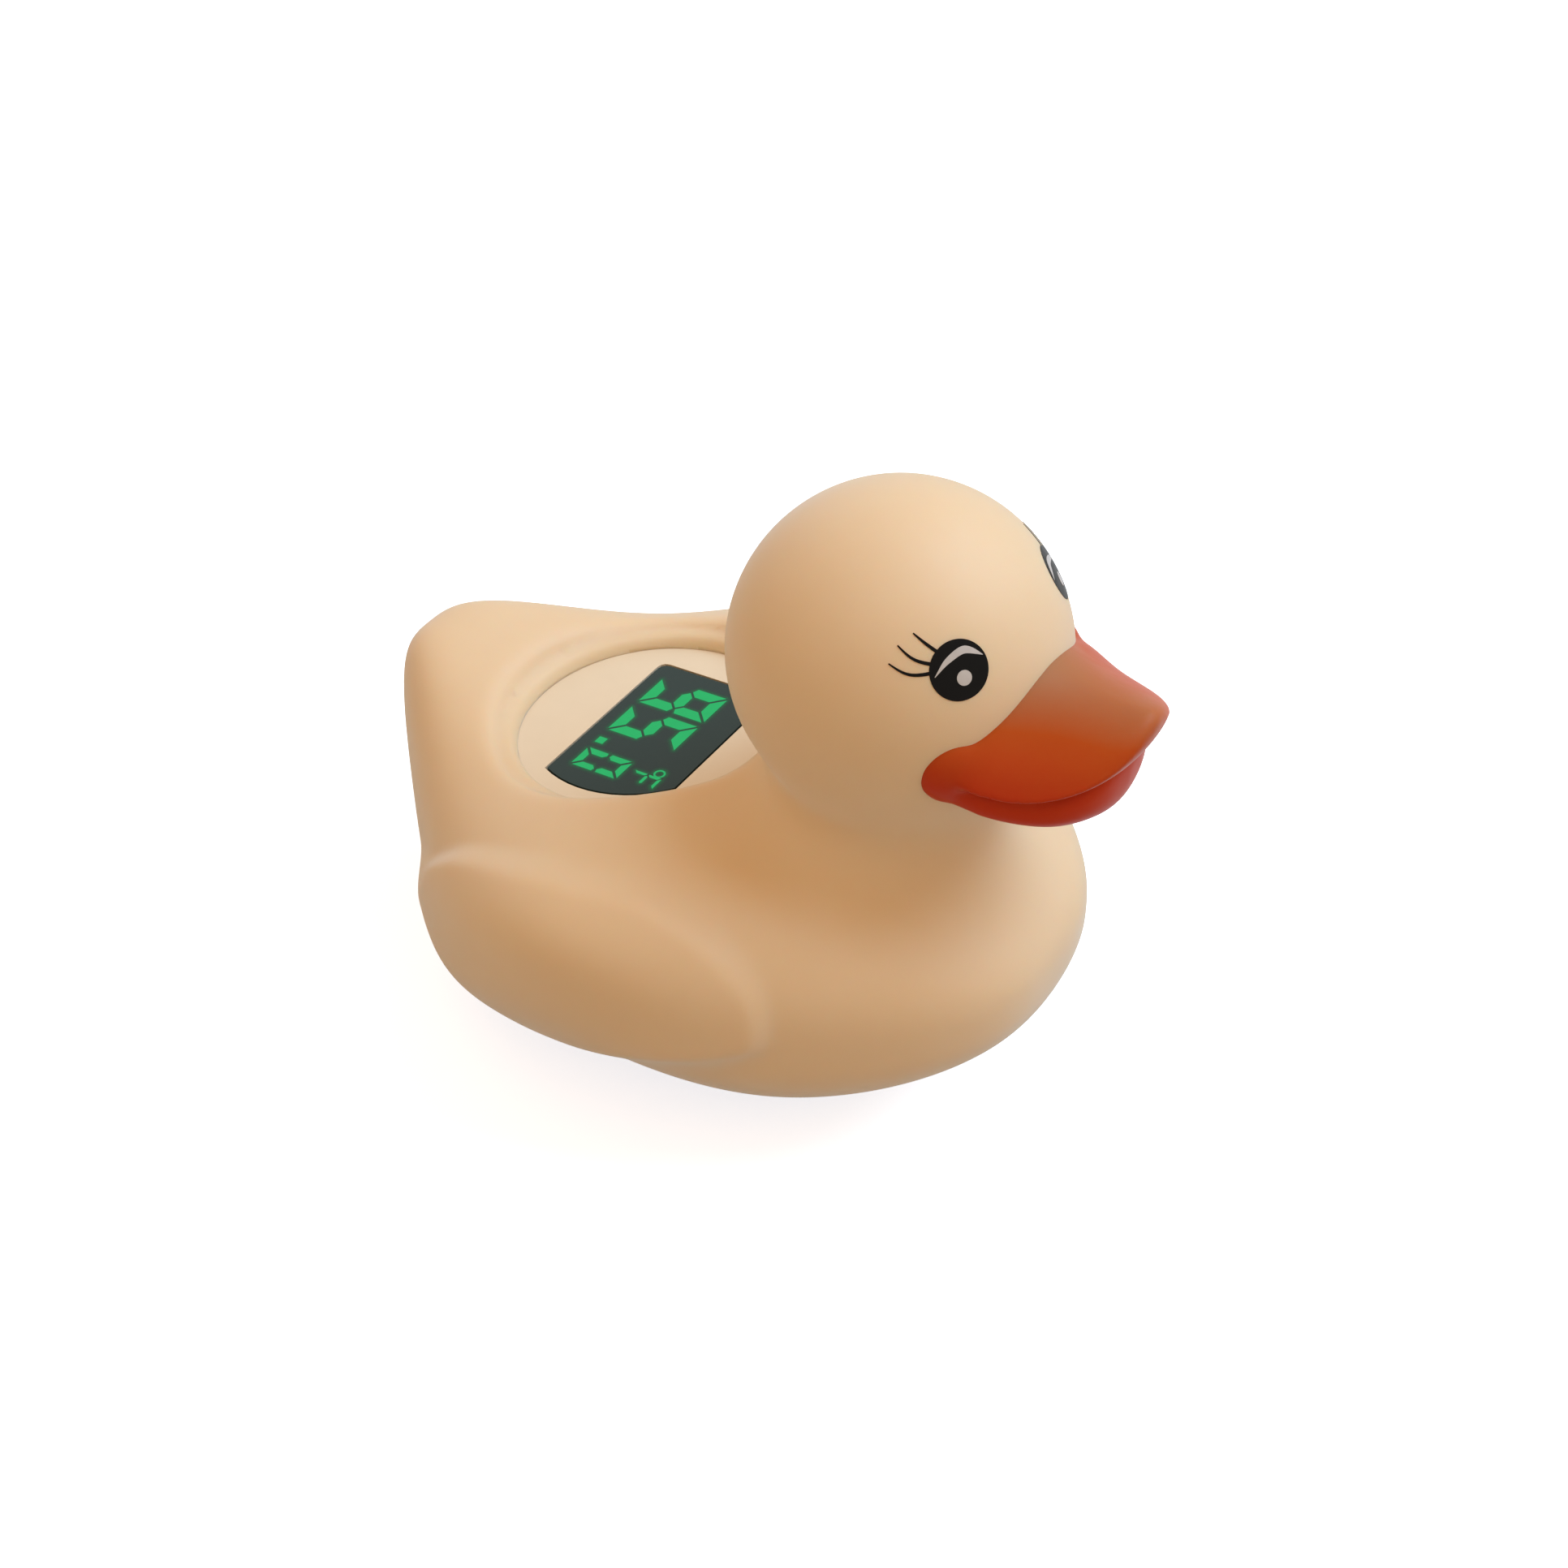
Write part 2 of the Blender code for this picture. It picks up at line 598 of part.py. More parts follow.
def fan_disc(bm, wide, high, tilt, centre=(0.0, 0.0), around=24, rings=3):
    c, s = math.cos(tilt), math.sin(tilt)
    rows = []
    for i in range(1, rings + 1):
        t = i / rings
        row = []
        for j in range(around):
            a = 2.0 * math.pi * j / around
            x, y = wide * t * math.cos(a), high * t * math.sin(a)
            row.append(bm.verts.new((centre[0] + c * x - s * y, centre[1] + s * x + c * y, 0.0)))
        rows.append(row)
    middle = bm.verts.new((centre[0], centre[1], 0.0))
    for j in range(around):
        k = (j + 1) % around
        bm.faces.new((middle, rows[0][j], rows[0][k]))
        for a, b in zip(rows[:-1], rows[1:]):
            bm.faces.new((a[j], b[j], b[k], a[k]))


def strip(bm, path, widths):
    """A ribbon along a path, as quads."""
    lefts, rights = [], []
    for i, (x, y) in enumerate(path):
        x0, y0 = path[max(i - 1, 0)]
        x1, y1 = path[min(i + 1, len(path) - 1)]
        dx, dy = x1 - x0, y1 - y0
        n = math.hypot(dx, dy)
        ox, oy = -dy / n * 0.5 * widths[i], dx / n * 0.5 * widths[i]
        lefts.append(bm.verts.new((x + ox, y + oy, 0.0)))
        rights.append(bm.verts.new((x - ox, y - oy, 0.0)))
    for i in range(len(path) - 1):
        bm.faces.new((lefts[i], rights[i], rights[i + 1], lefts[i + 1]))


def bezier(a, b, c, count):
    out = []
    for i in range(count + 1):
        t = i / count
        out.append(
            (
                (1 - t) ** 2 * a[0] + 2 * t * (1 - t) * b[0] + t * t * c[0],
                (1 - t) ** 2 * a[1] + 2 * t * (1 - t) * b[1] + t * t * c[1],
            )
        )
    return out


for side, word in ((1.0, "right"), (-1.0, "left")):
    bm = bmesh.new()
    fan_disc(bm, EYE_HALF_WIDE, EYE_HALF_HIGH, EYE_TILT)
    eye = film("eye_print_" + word, bm, side, GAP, ink)
    for a, b, c in LASHES:
        bm = bmesh.new()
        path = bezier(a, b, c, LASH_STEPS)
        path[0] = (path[0][0] * LASH_ROOT, path[0][1] * LASH_ROOT)
        strip(bm, path, [LASH_WIDTH * (1.15 - 0.6 * i / LASH_STEPS) for i in range(LASH_STEPS + 1)])
        lash = film("lash", bm, side, GAP - 0.03, ink)
        bm = bmesh.new()
        bm.from_mesh(lash.data)
        centre = Vector((HEAD_X, 0.0, HEAD_Z)) * MM
        for v in bm.verts:
            away = v.co - centre
            if away.length > (HEAD_RADIUS + GAP + 0.5 * EYE_FILM) * MM:
                v.co += away.normalized() * 0.06 * MM
        bm.to_mesh(lash.data)
        bm.free()
        combine(eye, "UNION", lash)
    tidy(eye)
    level = GAP * 2.0 + EYE_FILM
    bm = bmesh.new()
    strip(bm, [mark[:2] for mark in CRESCENT], [mark[2] for mark in CRESCENT])
    film("eye_glint_" + word, bm, side, level, glint)
    bm = bmesh.new()
    fan_disc(bm, DOT[2], DOT[2], 0.0, DOT[:2], 14, 1)
    film("eye_dot_" + word, bm, side, level, glint)


# Display capsule, upper half.
def tilted_top(name, radius, low, depth, segments=40):
    """Upright cylinder whose top follows a plane of the tilted face."""
    obj = cylinder(name, radius, low, low + 1.0, (COLUMN_X, 0.0), segments)
    for v in obj.data.vertices:
        if v.co.z > (low + 0.5) * MM:
            x = v.co.x / MM - FACE_X
            v.co.z = (FACE_Z + (depth + x * math.sin(FACE_PITCH)) / math.cos(FACE_PITCH)) * MM
    return obj


cup = cylinder(
    "upper_housing", CUP_RADIUS, CUP_BOTTOM, -DISC_THICK - GAP, segments=56, material=housing, matrix=FACE
)
column = tilted_top("column", BASE_RADIUS, BASE_FLANGE_HIGH + GAP, CUP_BOTTOM + 0.8)
combine(cup, "UNION", column)
cup_bore = cylinder("cup_bore", CUP_BORE, LEDGE_DEPTH, 5.0, segments=56, matrix=FACE)
cup_pit = cylinder("cup_pit", CUP_LEDGE, CUP_FLOOR, LEDGE_DEPTH + 1.0, segments=48, matrix=FACE)
column_bore = tilted_top("column_bore", COLUMN_INNER, BASE_FLANGE_HIGH - 2.0, CUP_BOTTOM)
wire_hole = cylinder(
    "wire_hole", WIRE_HOLE_RADIUS, CUP_BOTTOM - 3.0, CUP_FLOOR + 2.0, (WIRE_HOLE_X, 0.0), 24, matrix=FACE
)
combine(cup, "DIFFERENCE", cup_bore, cup_pit, column_bore, wire_hole)
tidy(cup)


def window_outline(grow=0.0, arc_steps=12):
    """Window edge: square to the duck at three sides, an arc on its right."""
    rear, front, left = WINDOW_REAR - grow, WINDOW_FRONT + grow, WINDOW_LEFT + grow
    radius = WINDOW_ARC_RADIUS + grow
    pts = []
    for cx, sign in ((rear + WINDOW_CORNER, -1.0), (front - WINDOW_CORNER, 1.0)):
        for i in range(4):
            a = math.pi * (1.0 - i / 6.0) if sign < 0 else math.pi * (0.5 - i / 6.0)
            pts.append((cx + WINDOW_CORNER * math.cos(a), left - WINDOW_CORNER + WINDOW_CORNER * math.sin(a)))
    start = math.asin((front - WINDOW_ARC_X) / radius)
    stop = math.asin((rear - WINDOW_ARC_X) / radius)
    for i in range(arc_steps + 1):
        a = start + (stop - start) * i / arc_steps
        pts.append((WINDOW_ARC_X + radius * math.sin(a), -radius * math.cos(a)))
    return pts


face_disc = cylinder(
    "face_disc", DISC_RADIUS, -DISC_THICK, 0.0, segments=64, material=print_film, matrix=FACE
)
combine(face_disc, "DIFFERENCE", prism("window_cut", window_outline(), -3.0, 3.0, matrix=FACE))
prism("window_lens", window_outline(-GAP), -DISC_THICK, 0.0, smoked, FACE)


def bar(x0, y0, x1, y1, width, slant=0.5):
    """Six-sided segment between two points."""
    dx, dy = x1 - x0, y1 - y0
    n = math.hypot(dx, dy)
    ux, uy = dx / n, dy / n
    px, py = -uy * width * 0.5, ux * width * 0.5
    inset = width * slant
    return [
        (x0, y0),
        (x0 + ux * inset + px, y0 + uy * inset + py),
        (x1 - ux * inset + px, y1 - uy * inset + py),
        (x1, y1),
        (x1 - ux * inset - px, y1 - uy * inset - py),
        (x0 + ux * inset - px, y0 + uy * inset - py),
    ]


def digit_bars(text, base, left, height, width, thick, parting=0.12):
    """Segment outlines of one digit; its top is toward the head, its left toward +Y."""
    half = 0.5 * thick
    low, mid, high = base + half, base + 0.5 * height, base + height - half
    west, east = left - half, left - width + half
    g = parting + 0.02
    ends = {
        "a": (high, west - g, high, east + g),
        "b": (high - g, east, mid + g, east),
        "c": (mid - g, east, low + g, east),
        "d": (low, west - g, low, east + g),
        "e": (mid - g, west, low + g, west),
        "f": (high - g, west, mid + g, west),
        "g": (mid, west - g, mid, east + g),
    }
    lit = {"9": "abcdfg", "5": "acdfg", "0": "abcdef", "F": "aefg"}[text]
    return [bar(*ends[s], thick) for s in lit]


def all_bars():
    found = digit_bars("9", DIGIT_BASE, DIGIT_LEFTS[0], DIGIT_HEIGHT, DIGIT_WIDTH, DIGIT_BAR)
    found += digit_bars("5", DIGIT_BASE, DIGIT_LEFTS[1], DIGIT_HEIGHT, DIGIT_WIDTH, DIGIT_BAR)
    found += digit_bars("0", SMALL_BASE, SMALL_LEFT, SMALL_HEIGHT, SMALL_WIDTH, SMALL_BAR)
    found += digit_bars("F", LETTER_BASE, LETTER_LEFT, LETTER_HEIGHT, LETTER_WIDTH, LETTER_BAR)
    x, y, s = DIGIT_BASE, POINT_LEFT, POINT_SIDE
    found.append([(x, y), (x + s, y), (x + s, y - s), (x, y - s)])
    ring = [(DEGREE_X + DEGREE_RADIUS * math.cos(a), DEGREE_Y + DEGREE_RADIUS * math.sin(a))
            for a in np.arange(8) * math.pi / 4]
    found.append(ring)
    return found


FILM_TOP = -DISC_THICK - GAP
BLOCK_TOP = FILM_TOP - 0.3 - GAP
BLOCK_LOW = BLOCK_TOP - 2.4
BOARD_TOP = BLOCK_LOW - GAP
BOARD_LOW = BOARD_TOP - 1.0

FILM_RADIUS = CUP_BORE - FILM_INSET
cylinder("digit_film", FILM_RADIUS, FILM_TOP - 0.3, FILM_TOP, segments=48, material=lit_film, matrix=FACE)
reflector = cylinder(
    "reflector_block", FILM_RADIUS, BLOCK_LOW, BLOCK_TOP, segments=48, material=block, matrix=FACE
)
cells = bmesh.new()
for outline in all_bars():
    face = cells.faces.new([cells.verts.new((x * MM, y * MM, (BLOCK_LOW - 1.0) * MM)) for x, y in outline])
pulled = bmesh.ops.extrude_face_region(cells, geom=cells.faces[:])
tops = [v for v in pulled["geom"] if isinstance(v, bmesh.types.BMVert)]
bmesh.ops.translate(cells, verts=tops, vec=(0.0, 0.0, 4.4 * MM))
combine(reflector, "DIFFERENCE", finish("light_cells", cells, None, FACE))
cylinder(
    "main_board", CUP_BORE - BOARD_INSET, BOARD_LOW, BOARD_TOP, segments=48, material=board, matrix=FACE
)
turned(
    "controller_chip",
    [
        (0.0, BOARD_LOW - GAP), (3.4, BOARD_LOW - GAP), (3.1, BOARD_LOW - 0.9),
        (1.8, BOARD_LOW - 1.3), (0.0, BOARD_LOW - 1.4),
    ],
    20, (-8.0, 0.0), resin, FACE,
)
box("timing_crystal", (5.0, 1.8, 1.4), (-3.0, 8.5, BOARD_LOW - GAP - 0.7), steel, FACE, bevel=0.3)
box("series_resistor", (2.0, 1.25, 0.6), (-3.0, -8.5, BOARD_LOW - GAP - 0.3), resin, FACE)
box("filter_capacitor", (2.0, 1.25, 0.9), (-7.5, -6.5, BOARD_LOW - GAP - 0.45), spring, FACE)

# Base of the capsule.
BASE_AT = (COLUMN_X, 0.0)
PROBE_ANGLE = math.radians(50.0)
PIN_ANGLES = (0.5 * math.pi, -0.5 * math.pi, PROBE_ANGLE)
PIN_PLACES = [(COLUMN_X + PIN_REACH * math.cos(a), PIN_REACH * math.sin(a)) for a in PIN_ANGLES]
SCREW_PLACES = [(COLUMN_X + s * EAR_REACH, 0.0) for s in (1, -1)]
PIN_TOP = BASE_TOP + 0.7
base = turned(
    "base_housing",
    [
        (0.0, BASE_TOP), (SPIGOT_RADIUS, BASE_TOP), (SPIGOT_RADIUS, BASE_FLANGE_HIGH),
        (BASE_FLANGE_RADIUS, BASE_FLANGE_HIGH), (BASE_FLANGE_RADIUS, BASE_FLANGE_LOW),
        (BASE_RADIUS, BASE_FLANGE_LOW), (BASE_RADIUS, 0.7), (BASE_RADIUS - 0.7, 0.0), (0.0, 0.0),
    ],
    48, BASE_AT, housing,
)


def eared_outline(grow=0.0):
    """Door outline: a circle with a screw ear at front and rear."""
    radius, ear = DOOR_RADIUS + grow, EAR_RADIUS + grow
    meet = math.acos((radius**2 + EAR_REACH**2 - ear**2) / (2.0 * radius * EAR_REACH))
    swing = math.atan2(radius * math.sin(meet), radius * math.cos(meet) - EAR_REACH)
    pts = []
    for side in (1.0, -1.0):
        for i in range(11):
            a = swing * (i / 5.0 - 1.0)
            pts.append((side * (EAR_REACH + ear * math.cos(a)), side * ear * math.sin(a)))
        for i in range(1, 16):
            a = meet + (math.pi - 2.0 * meet) * i / 16.0
            pts.append((side * radius * math.cos(a), side * radius * math.sin(a)))
    return [(COLUMN_X + x, y) for x, y in pts]


door_seat = prism("door_seat", eared_outline(GAP), -1.0, DOOR_HIGH + GAP)
pocket = cylinder("pocket", CELL_RADIUS + 0.4, 1.0, PLATE_HIGH + 0.55, BASE_AT, 48)
SEAL_HEIGHT = DOOR_HIGH + GAP + SEAL_RADIUS
SEAL_REACH = CELL_RADIUS + GAP + SEAL_RADIUS
groove_out = SEAL_REACH + SEAL_RADIUS + GAP
groove_top = SEAL_HEIGHT + SEAL_RADIUS + 0.05
groove = turned(
    "groove", [(groove_out, groove_top), (groove_out, 1.0), (CELL_RADIUS, 1.0), (CELL_RADIUS, groove_top)],
    48, BASE_AT,
)
combine(base, "DIFFERENCE", door_seat, pocket, groove)
pin_holes = [
    cylinder("pin_hole", PIN_RADIUS + GAP, -1.0, BASE_TOP + 1.0, place, 16, turn=0.09) for place in PIN_PLACES
]
screw_holes = [
    cylinder("screw_hole", SCREW_RADIUS + GAP, 1.0, SCREW_TOP + 0.8, place, 16, turn=0.07)
    for place in SCREW_PLACES
]
wire_holes = [
    cylinder("wire_hole", WIRE_RADIUS + 0.7, 6.0, BASE_TOP + 1.0, (COLUMN_X, s * WIRE_REACH), 12)
    for s in (1, -1)
]
combine(base, "DIFFERENCE", *pin_holes, *screw_holes, *wire_holes)
tidy(base)

door = prism("battery_door", eared_outline(), DOOR_LOW, DOOR_HIGH, housing)
for place in SCREW_PLACES:
    clear = cylinder("clear", SCREW_RADIUS + GAP, -1.0, 3.0, place, 16, turn=0.07)
    sink = cylinder("sink", SCREW_HEAD + GAP, -1.0, 0.8 + GAP, place, 16, turn=0.05)
    combine(door, "DIFFERENCE", clear, sink)
combine(door, "DIFFERENCE", box("slot", (9.0, 1.6, 0.8), (COLUMN_X, 0.0, DOOR_LOW)))
tidy(door)
for place, word in zip(SCREW_PLACES, ("front", "rear")):
    profile = [
        (0.0, SCREW_TOP), (0.5, SCREW_TOP - 0.4), (SCREW_RADIUS, SCREW_TOP - 1.3), (SCREW_RADIUS, 1.3),
        (SCREW_HEAD, 0.8), (SCREW_HEAD, 0.3), (0.0, 0.3),
    ]
    screw = turned("door_screw_" + word, profile, 16, place, steel)
    combine(screw, "DIFFERENCE", box("drive", (1.85, 0.4, 0.5), (place[0], place[1], 0.25)))

ring = bmesh.new()
seam = []
for j in range(8):
    a = 2.0 * math.pi * j / 8
    reach, height = SEAL_REACH + SEAL_RADIUS * math.cos(a), SEAL_HEIGHT + SEAL_RADIUS * math.sin(a)
    seam.append(ring.verts.new((reach * MM, 0.0, height * MM)))
edges = [ring.edges.new((seam[j], seam[(j + 1) % 8])) for j in range(8)]
bmesh.ops.spin(
    ring, geom=seam + edges, cent=(0, 0, 0), axis=(0, 0, 1), angle=2 * math.pi, steps=40, use_merge=True
)
bmesh.ops.remove_doubles(ring, verts=ring.verts, dist=1e-6)
bmesh.ops.translate(ring, verts=ring.verts, vec=(COLUMN_X * MM, 0.0, 0.0))
finish("door_seal", ring, seal)

cell_profile = [
    (0.0, CELL_LOW + CELL_HEIGHT), (CELL_RADIUS - 0.3, CELL_LOW + CELL_HEIGHT),
    (CELL_RADIUS, CELL_LOW + CELL_HEIGHT - 0.3), (CELL_RADIUS, CELL_LOW + 0.6),
    (CELL_RADIUS - 0.8, CELL_LOW + 0.4), (CELL_RADIUS - 1.4, CELL_LOW), (0.0, CELL_LOW),
]
turned("coin_cell", cell_profile, 40, BASE_AT, cell)
PLATE_RADIUS = CELL_RADIUS - CONTACT_INSET
cylinder("contact_plate", PLATE_RADIUS, PLATE_HIGH - CONTACT_THICK, PLATE_HIGH, BASE_AT, 32, spring)
SPRING_LOW = CELL_LOW - GAP - CONTACT_THICK
leaf = cylinder("contact_spring", 0.5 * CELL_RADIUS, SPRING_LOW, CELL_LOW - GAP, BASE_AT, 24, spring)
combine(leaf, "DIFFERENCE", cylinder("eye", 0.2 * CELL_RADIUS, 1.0, 3.0, BASE_AT, 16))

def pin(name, at, round_height):
    """Metal pin through the base: a thin tail inside, a stout stem and a rounded lower end."""
    stem, tail, low = PIN_RADIUS, 0.6 * PIN_RADIUS, 0.2
    profile = [
        (0.0, PIN_TOP), (tail, PIN_TOP), (tail, BASE_FLANGE_HIGH - 0.6), (stem, BASE_FLANGE_HIGH - 0.8),
        (stem, low + round_height), (0.7 * stem, low + 0.3 * round_height), (0.0, low),
    ]
    turned(name, profile, 16, at, steel)


for place, word in zip(PIN_PLACES, ("electrode_left", "electrode_right", "probe_tip")):
    pin(word, place, 0.7 if word == "probe_tip" else 0.3)

# Leads from the base up to the underside of the board.
def on_face(x, y, depth):
    return FACE @ Vector((x * MM, y * MM, depth * MM)) / MM


def up_to_board(name, start, end, material):
    high = on_face(end[0], end[1], BOARD_LOW - GAP)
    neck = on_face(WIRE_HOLE_X + (end[0] - WIRE_HOLE_X) * 0.75, end[1] * 0.75, CUP_BOTTOM - 1.0)
    out = (start[0], start[1], max(start[2] + 1.6, BASE_TOP + 1.2))
    middle = (start[0] * 0.72 + COLUMN_X * 0.28, start[1] * 0.72, BASE_TOP + 5.7)
    lead(name, [start, out, middle, neck, high], WIRE_RADIUS, material)


for place, word, end in zip(PIN_PLACES, ("electrode_left", "electrode_right", "probe"), PIN_PADS):
    up_to_board("lead_" + word, (*place, PIN_TOP + GAP), end, wire_white)
up_to_board("lead_battery_plus", (COLUMN_X, WIRE_REACH, PLATE_HIGH + GAP), (1.6, 0.9), wire_red)
up_to_board("lead_battery_minus", (COLUMN_X, -WIRE_REACH, PLATE_HIGH + GAP), (1.6, -0.9), wire_black)

# The origin goes below the middle of the overall length.
for obj in PARTS.objects:
    obj.data.transform(Matrix.Translation((-0.5 * (BODY_REAR + BILL_X[-1]) * MM, 0.0, 0.0)))
bpy.context.view_layer.update()
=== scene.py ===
# %% [markdown]
# This lesson dresses a baby bath thermometer: a cream vinyl duck that floats, with a round
# display let into its back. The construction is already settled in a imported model, which is
# loaded as a fixed frame. Everything made here is laid round that frame and never moves it.

# %% Load the frame
import json
import math

import bmesh
import bpy
import numpy as np
from mathutils import Matrix, Vector

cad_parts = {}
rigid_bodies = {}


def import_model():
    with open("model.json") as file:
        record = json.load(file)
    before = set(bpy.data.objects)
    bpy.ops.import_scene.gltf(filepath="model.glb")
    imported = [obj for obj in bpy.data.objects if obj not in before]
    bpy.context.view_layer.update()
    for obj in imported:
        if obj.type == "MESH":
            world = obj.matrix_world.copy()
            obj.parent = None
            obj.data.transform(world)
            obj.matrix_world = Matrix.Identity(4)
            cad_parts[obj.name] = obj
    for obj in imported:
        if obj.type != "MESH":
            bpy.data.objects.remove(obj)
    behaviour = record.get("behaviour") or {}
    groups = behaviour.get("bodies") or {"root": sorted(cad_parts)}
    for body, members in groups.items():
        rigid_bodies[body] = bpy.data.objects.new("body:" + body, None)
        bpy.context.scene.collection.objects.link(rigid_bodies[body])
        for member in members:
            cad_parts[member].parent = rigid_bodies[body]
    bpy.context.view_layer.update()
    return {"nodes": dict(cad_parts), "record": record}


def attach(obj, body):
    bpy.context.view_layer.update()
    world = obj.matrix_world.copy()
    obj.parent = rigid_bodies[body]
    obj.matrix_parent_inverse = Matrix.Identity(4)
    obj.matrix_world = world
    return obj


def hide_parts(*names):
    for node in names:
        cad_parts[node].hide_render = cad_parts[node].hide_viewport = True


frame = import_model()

NODES = frame["nodes"]
MM = 0.001

# %% [markdown]
# The camera comes first. It looks down on the duck from its front right quarter. A close
# camera gives the strong perspective of a product photograph, so its distance matters as
# much as its angle.

# %% Camera
IMAGE_SIDE = 1932
SENSOR = 36.0
CAMERA_AZIMUTH = math.radians(33.4)
CAMERA_ELEVATION = math.radians(41.2)
CAMERA_DISTANCE = 311.5
AIM = Vector((4.85, 0.0, 35.62))
FOCAL_PIXELS = 3073.0

away = Vector((
    math.sin(CAMERA_AZIMUTH) * math.cos(CAMERA_ELEVATION),
    -math.cos(CAMERA_AZIMUTH) * math.cos(CAMERA_ELEVATION),
    math.sin(CAMERA_ELEVATION),
))
camera_data = bpy.data.cameras.new("camera")
camera_data.sensor_width = SENSOR
camera_data.lens = FOCAL_PIXELS * SENSOR / IMAGE_SIDE
camera_data.clip_start = 0.01
camera = bpy.data.objects.new("camera", camera_data)
camera.location = (AIM + away * CAMERA_DISTANCE) * MM
camera.rotation_mode = "QUATERNION"
camera.rotation_quaternion = (-away).to_track_quat("-Z", "Y")
bpy.context.scene.collection.objects.link(camera)
bpy.context.scene.camera = camera
print("lens:", round(camera_data.lens, 2), "mm at", CAMERA_DISTANCE, "mm")

# %% [markdown]
# Shader nodes can be wired by hand, but a formula is easier to read. One small class wraps a
# socket, so that ordinary Python arithmetic adds the Math nodes.

# %% Shader arithmetic
class Wire:
    """An output socket that takes part in Python arithmetic."""

    def __init__(self, finish, socket):
        self.finish = finish
        self.socket = socket

    def math(self, operation, *terms):
        return self.finish.node("ShaderNodeMath", {"operation": operation}, dict(enumerate(terms)))

    def __add__(self, other):
        return self.math("ADD", self, other)

    def __radd__(self, other):
        return self.math("ADD", other, self)

    def __sub__(self, other):
        return self.math("SUBTRACT", self, other)

    def __rsub__(self, other):
        return self.math("SUBTRACT", other, self)

    def __mul__(self, other):
        return self.math("MULTIPLY", self, other)

    def __rmul__(self, other):
        return self.math("MULTIPLY", other, self)

    def __truediv__(self, other):
        return self.math("DIVIDE", self, other)

    def clamp(self):
        return self.math("MINIMUM", self.math("MAXIMUM", self, 0.0), 1.0)


print("wires take part in sums")

# %% [markdown]
# Every other node comes from a single method, which sets the node's options first and then its
# sockets. Textures are read in each piece's own space, so a pattern stays on its piece.

# %% Finishes
class Finish:
    """A material with a Principled shader and a way to add nodes to it."""

    def __init__(self, name, **constants):
        self.material = bpy.data.materials.new(name)
        self.material.use_nodes = True
        self.tree = self.material.node_tree
        self.shader = self.tree.nodes["Principled BSDF"]
        for key, value in constants.items():
            self.shader.inputs[key.replace("_", " ")].default_value = value

    def node(self, kind, settings=None, sockets=None, output=0):
        made = self.tree.nodes.new(kind)
        for key, value in (settings or {}).items():
            if key == "stops":
                while len(made.color_ramp.elements) < len(value):
                    made.color_ramp.elements.new(1.0)
                for element, (place, colour) in zip(made.color_ramp.elements, value):
                    element.position = place
                    element.color = (*colour, 1.0)
            else:
                setattr(made, key, value)
        for key, value in (sockets or {}).items():
            if isinstance(value, Wire):
                self.tree.links.new(value.socket, made.inputs[key])
            else:
                made.inputs[key].default_value = value
        return Wire(self, made.outputs[output])

    def place(self):
        return self.node("ShaderNodeTexCoord", output="Object")

    def noise(self, scale, detail=2.0, roughness=0.5):
        sockets = {"Vector": self.place(), "Scale": scale, "Detail": detail, "Roughness": roughness}
        return self.node("ShaderNodeTexNoise", None, sockets, "Fac")

    def mix(self, factor, first, second):
        sockets = {0: factor, 6: first, 7: second}
        return self.node("ShaderNodeMix", {"data_type": "RGBA"}, sockets, 2)

    def feed(self, key, wire):
        self.tree.links.new(wire.socket, self.shader.inputs[key])

    def bump(self, height, strength, distance):
        sockets = {"Height": height, "Strength": strength, "Distance": distance}
        self.feed("Normal", self.node("ShaderNodeBump", None, sockets))


def rgba(colour, factor=1.0):
    return (*(c * factor for c in colour), 1.0)


print("shader helpers ready")

# %% [markdown]
# The duck's skin is soft vinyl, spun in a hot mould. It has no grain that shows from a step
# away, but it isn't flat either: the tone drifts a little where the wall is thicker, the sheen
# is uneven, and light enters the surface and comes out again warmer. So the colour moves on a
# slow noise, the roughness on a finer one, and subsurface scattering does the rest. A little
# sheen gives the pale, powdery rim that new vinyl has where the surface turns away.

# %% Vinyl finishes
CREAM = (0.84, 0.62, 0.41)
CREAM_DEEP = (0.80, 0.56, 0.34)


def vinyl_finish(name, pale, deep, roughness):
    finish = Finish(
        name,
        Subsurface_Weight=0.35,
        Subsurface_Radius=(1.0, 0.45, 0.22),
        Subsurface_Scale=0.004,
        Specular_IOR_Level=0.5,
        Sheen_Weight=0.4,
        Sheen_Roughness=0.45,
        Sheen_Tint=(0.78, 0.9, 1.0, 1.0),
    )
    drift = (finish.noise(28.0, 2.0) * 1.6 - 0.3).clamp()
    cloud = (finish.noise(150.0, 3.0) * 1.4 - 0.2).clamp()
    tone = (drift * 0.75 + cloud * 0.25).clamp()
    finish.feed("Base Color", finish.mix(tone, rgba(pale), rgba(deep)))
    finish.feed("Roughness", finish.noise(420.0, 3.0) * 0.10 + roughness)
    finish.bump(finish.noise(1900.0, 4.0, 0.6) + finish.noise(240.0) * 0.5, 0.10, 0.00006)
    return finish.material


skin_vinyl = vinyl_finish("duck_vinyl", CREAM, CREAM_DEEP, 0.50)
print("vinyl:", skin_vinyl.name)

# %% [markdown]
# The body is easiest to state as a formula. At each place along its length the section is a
# rounded square: one half width, a top and a bottom height, and the height of its widest
# point, each drawn as a smooth curve through five stations. A point is on the skin where the
# formula gives 1. Head and neck are a ball and a short column that melt into it.

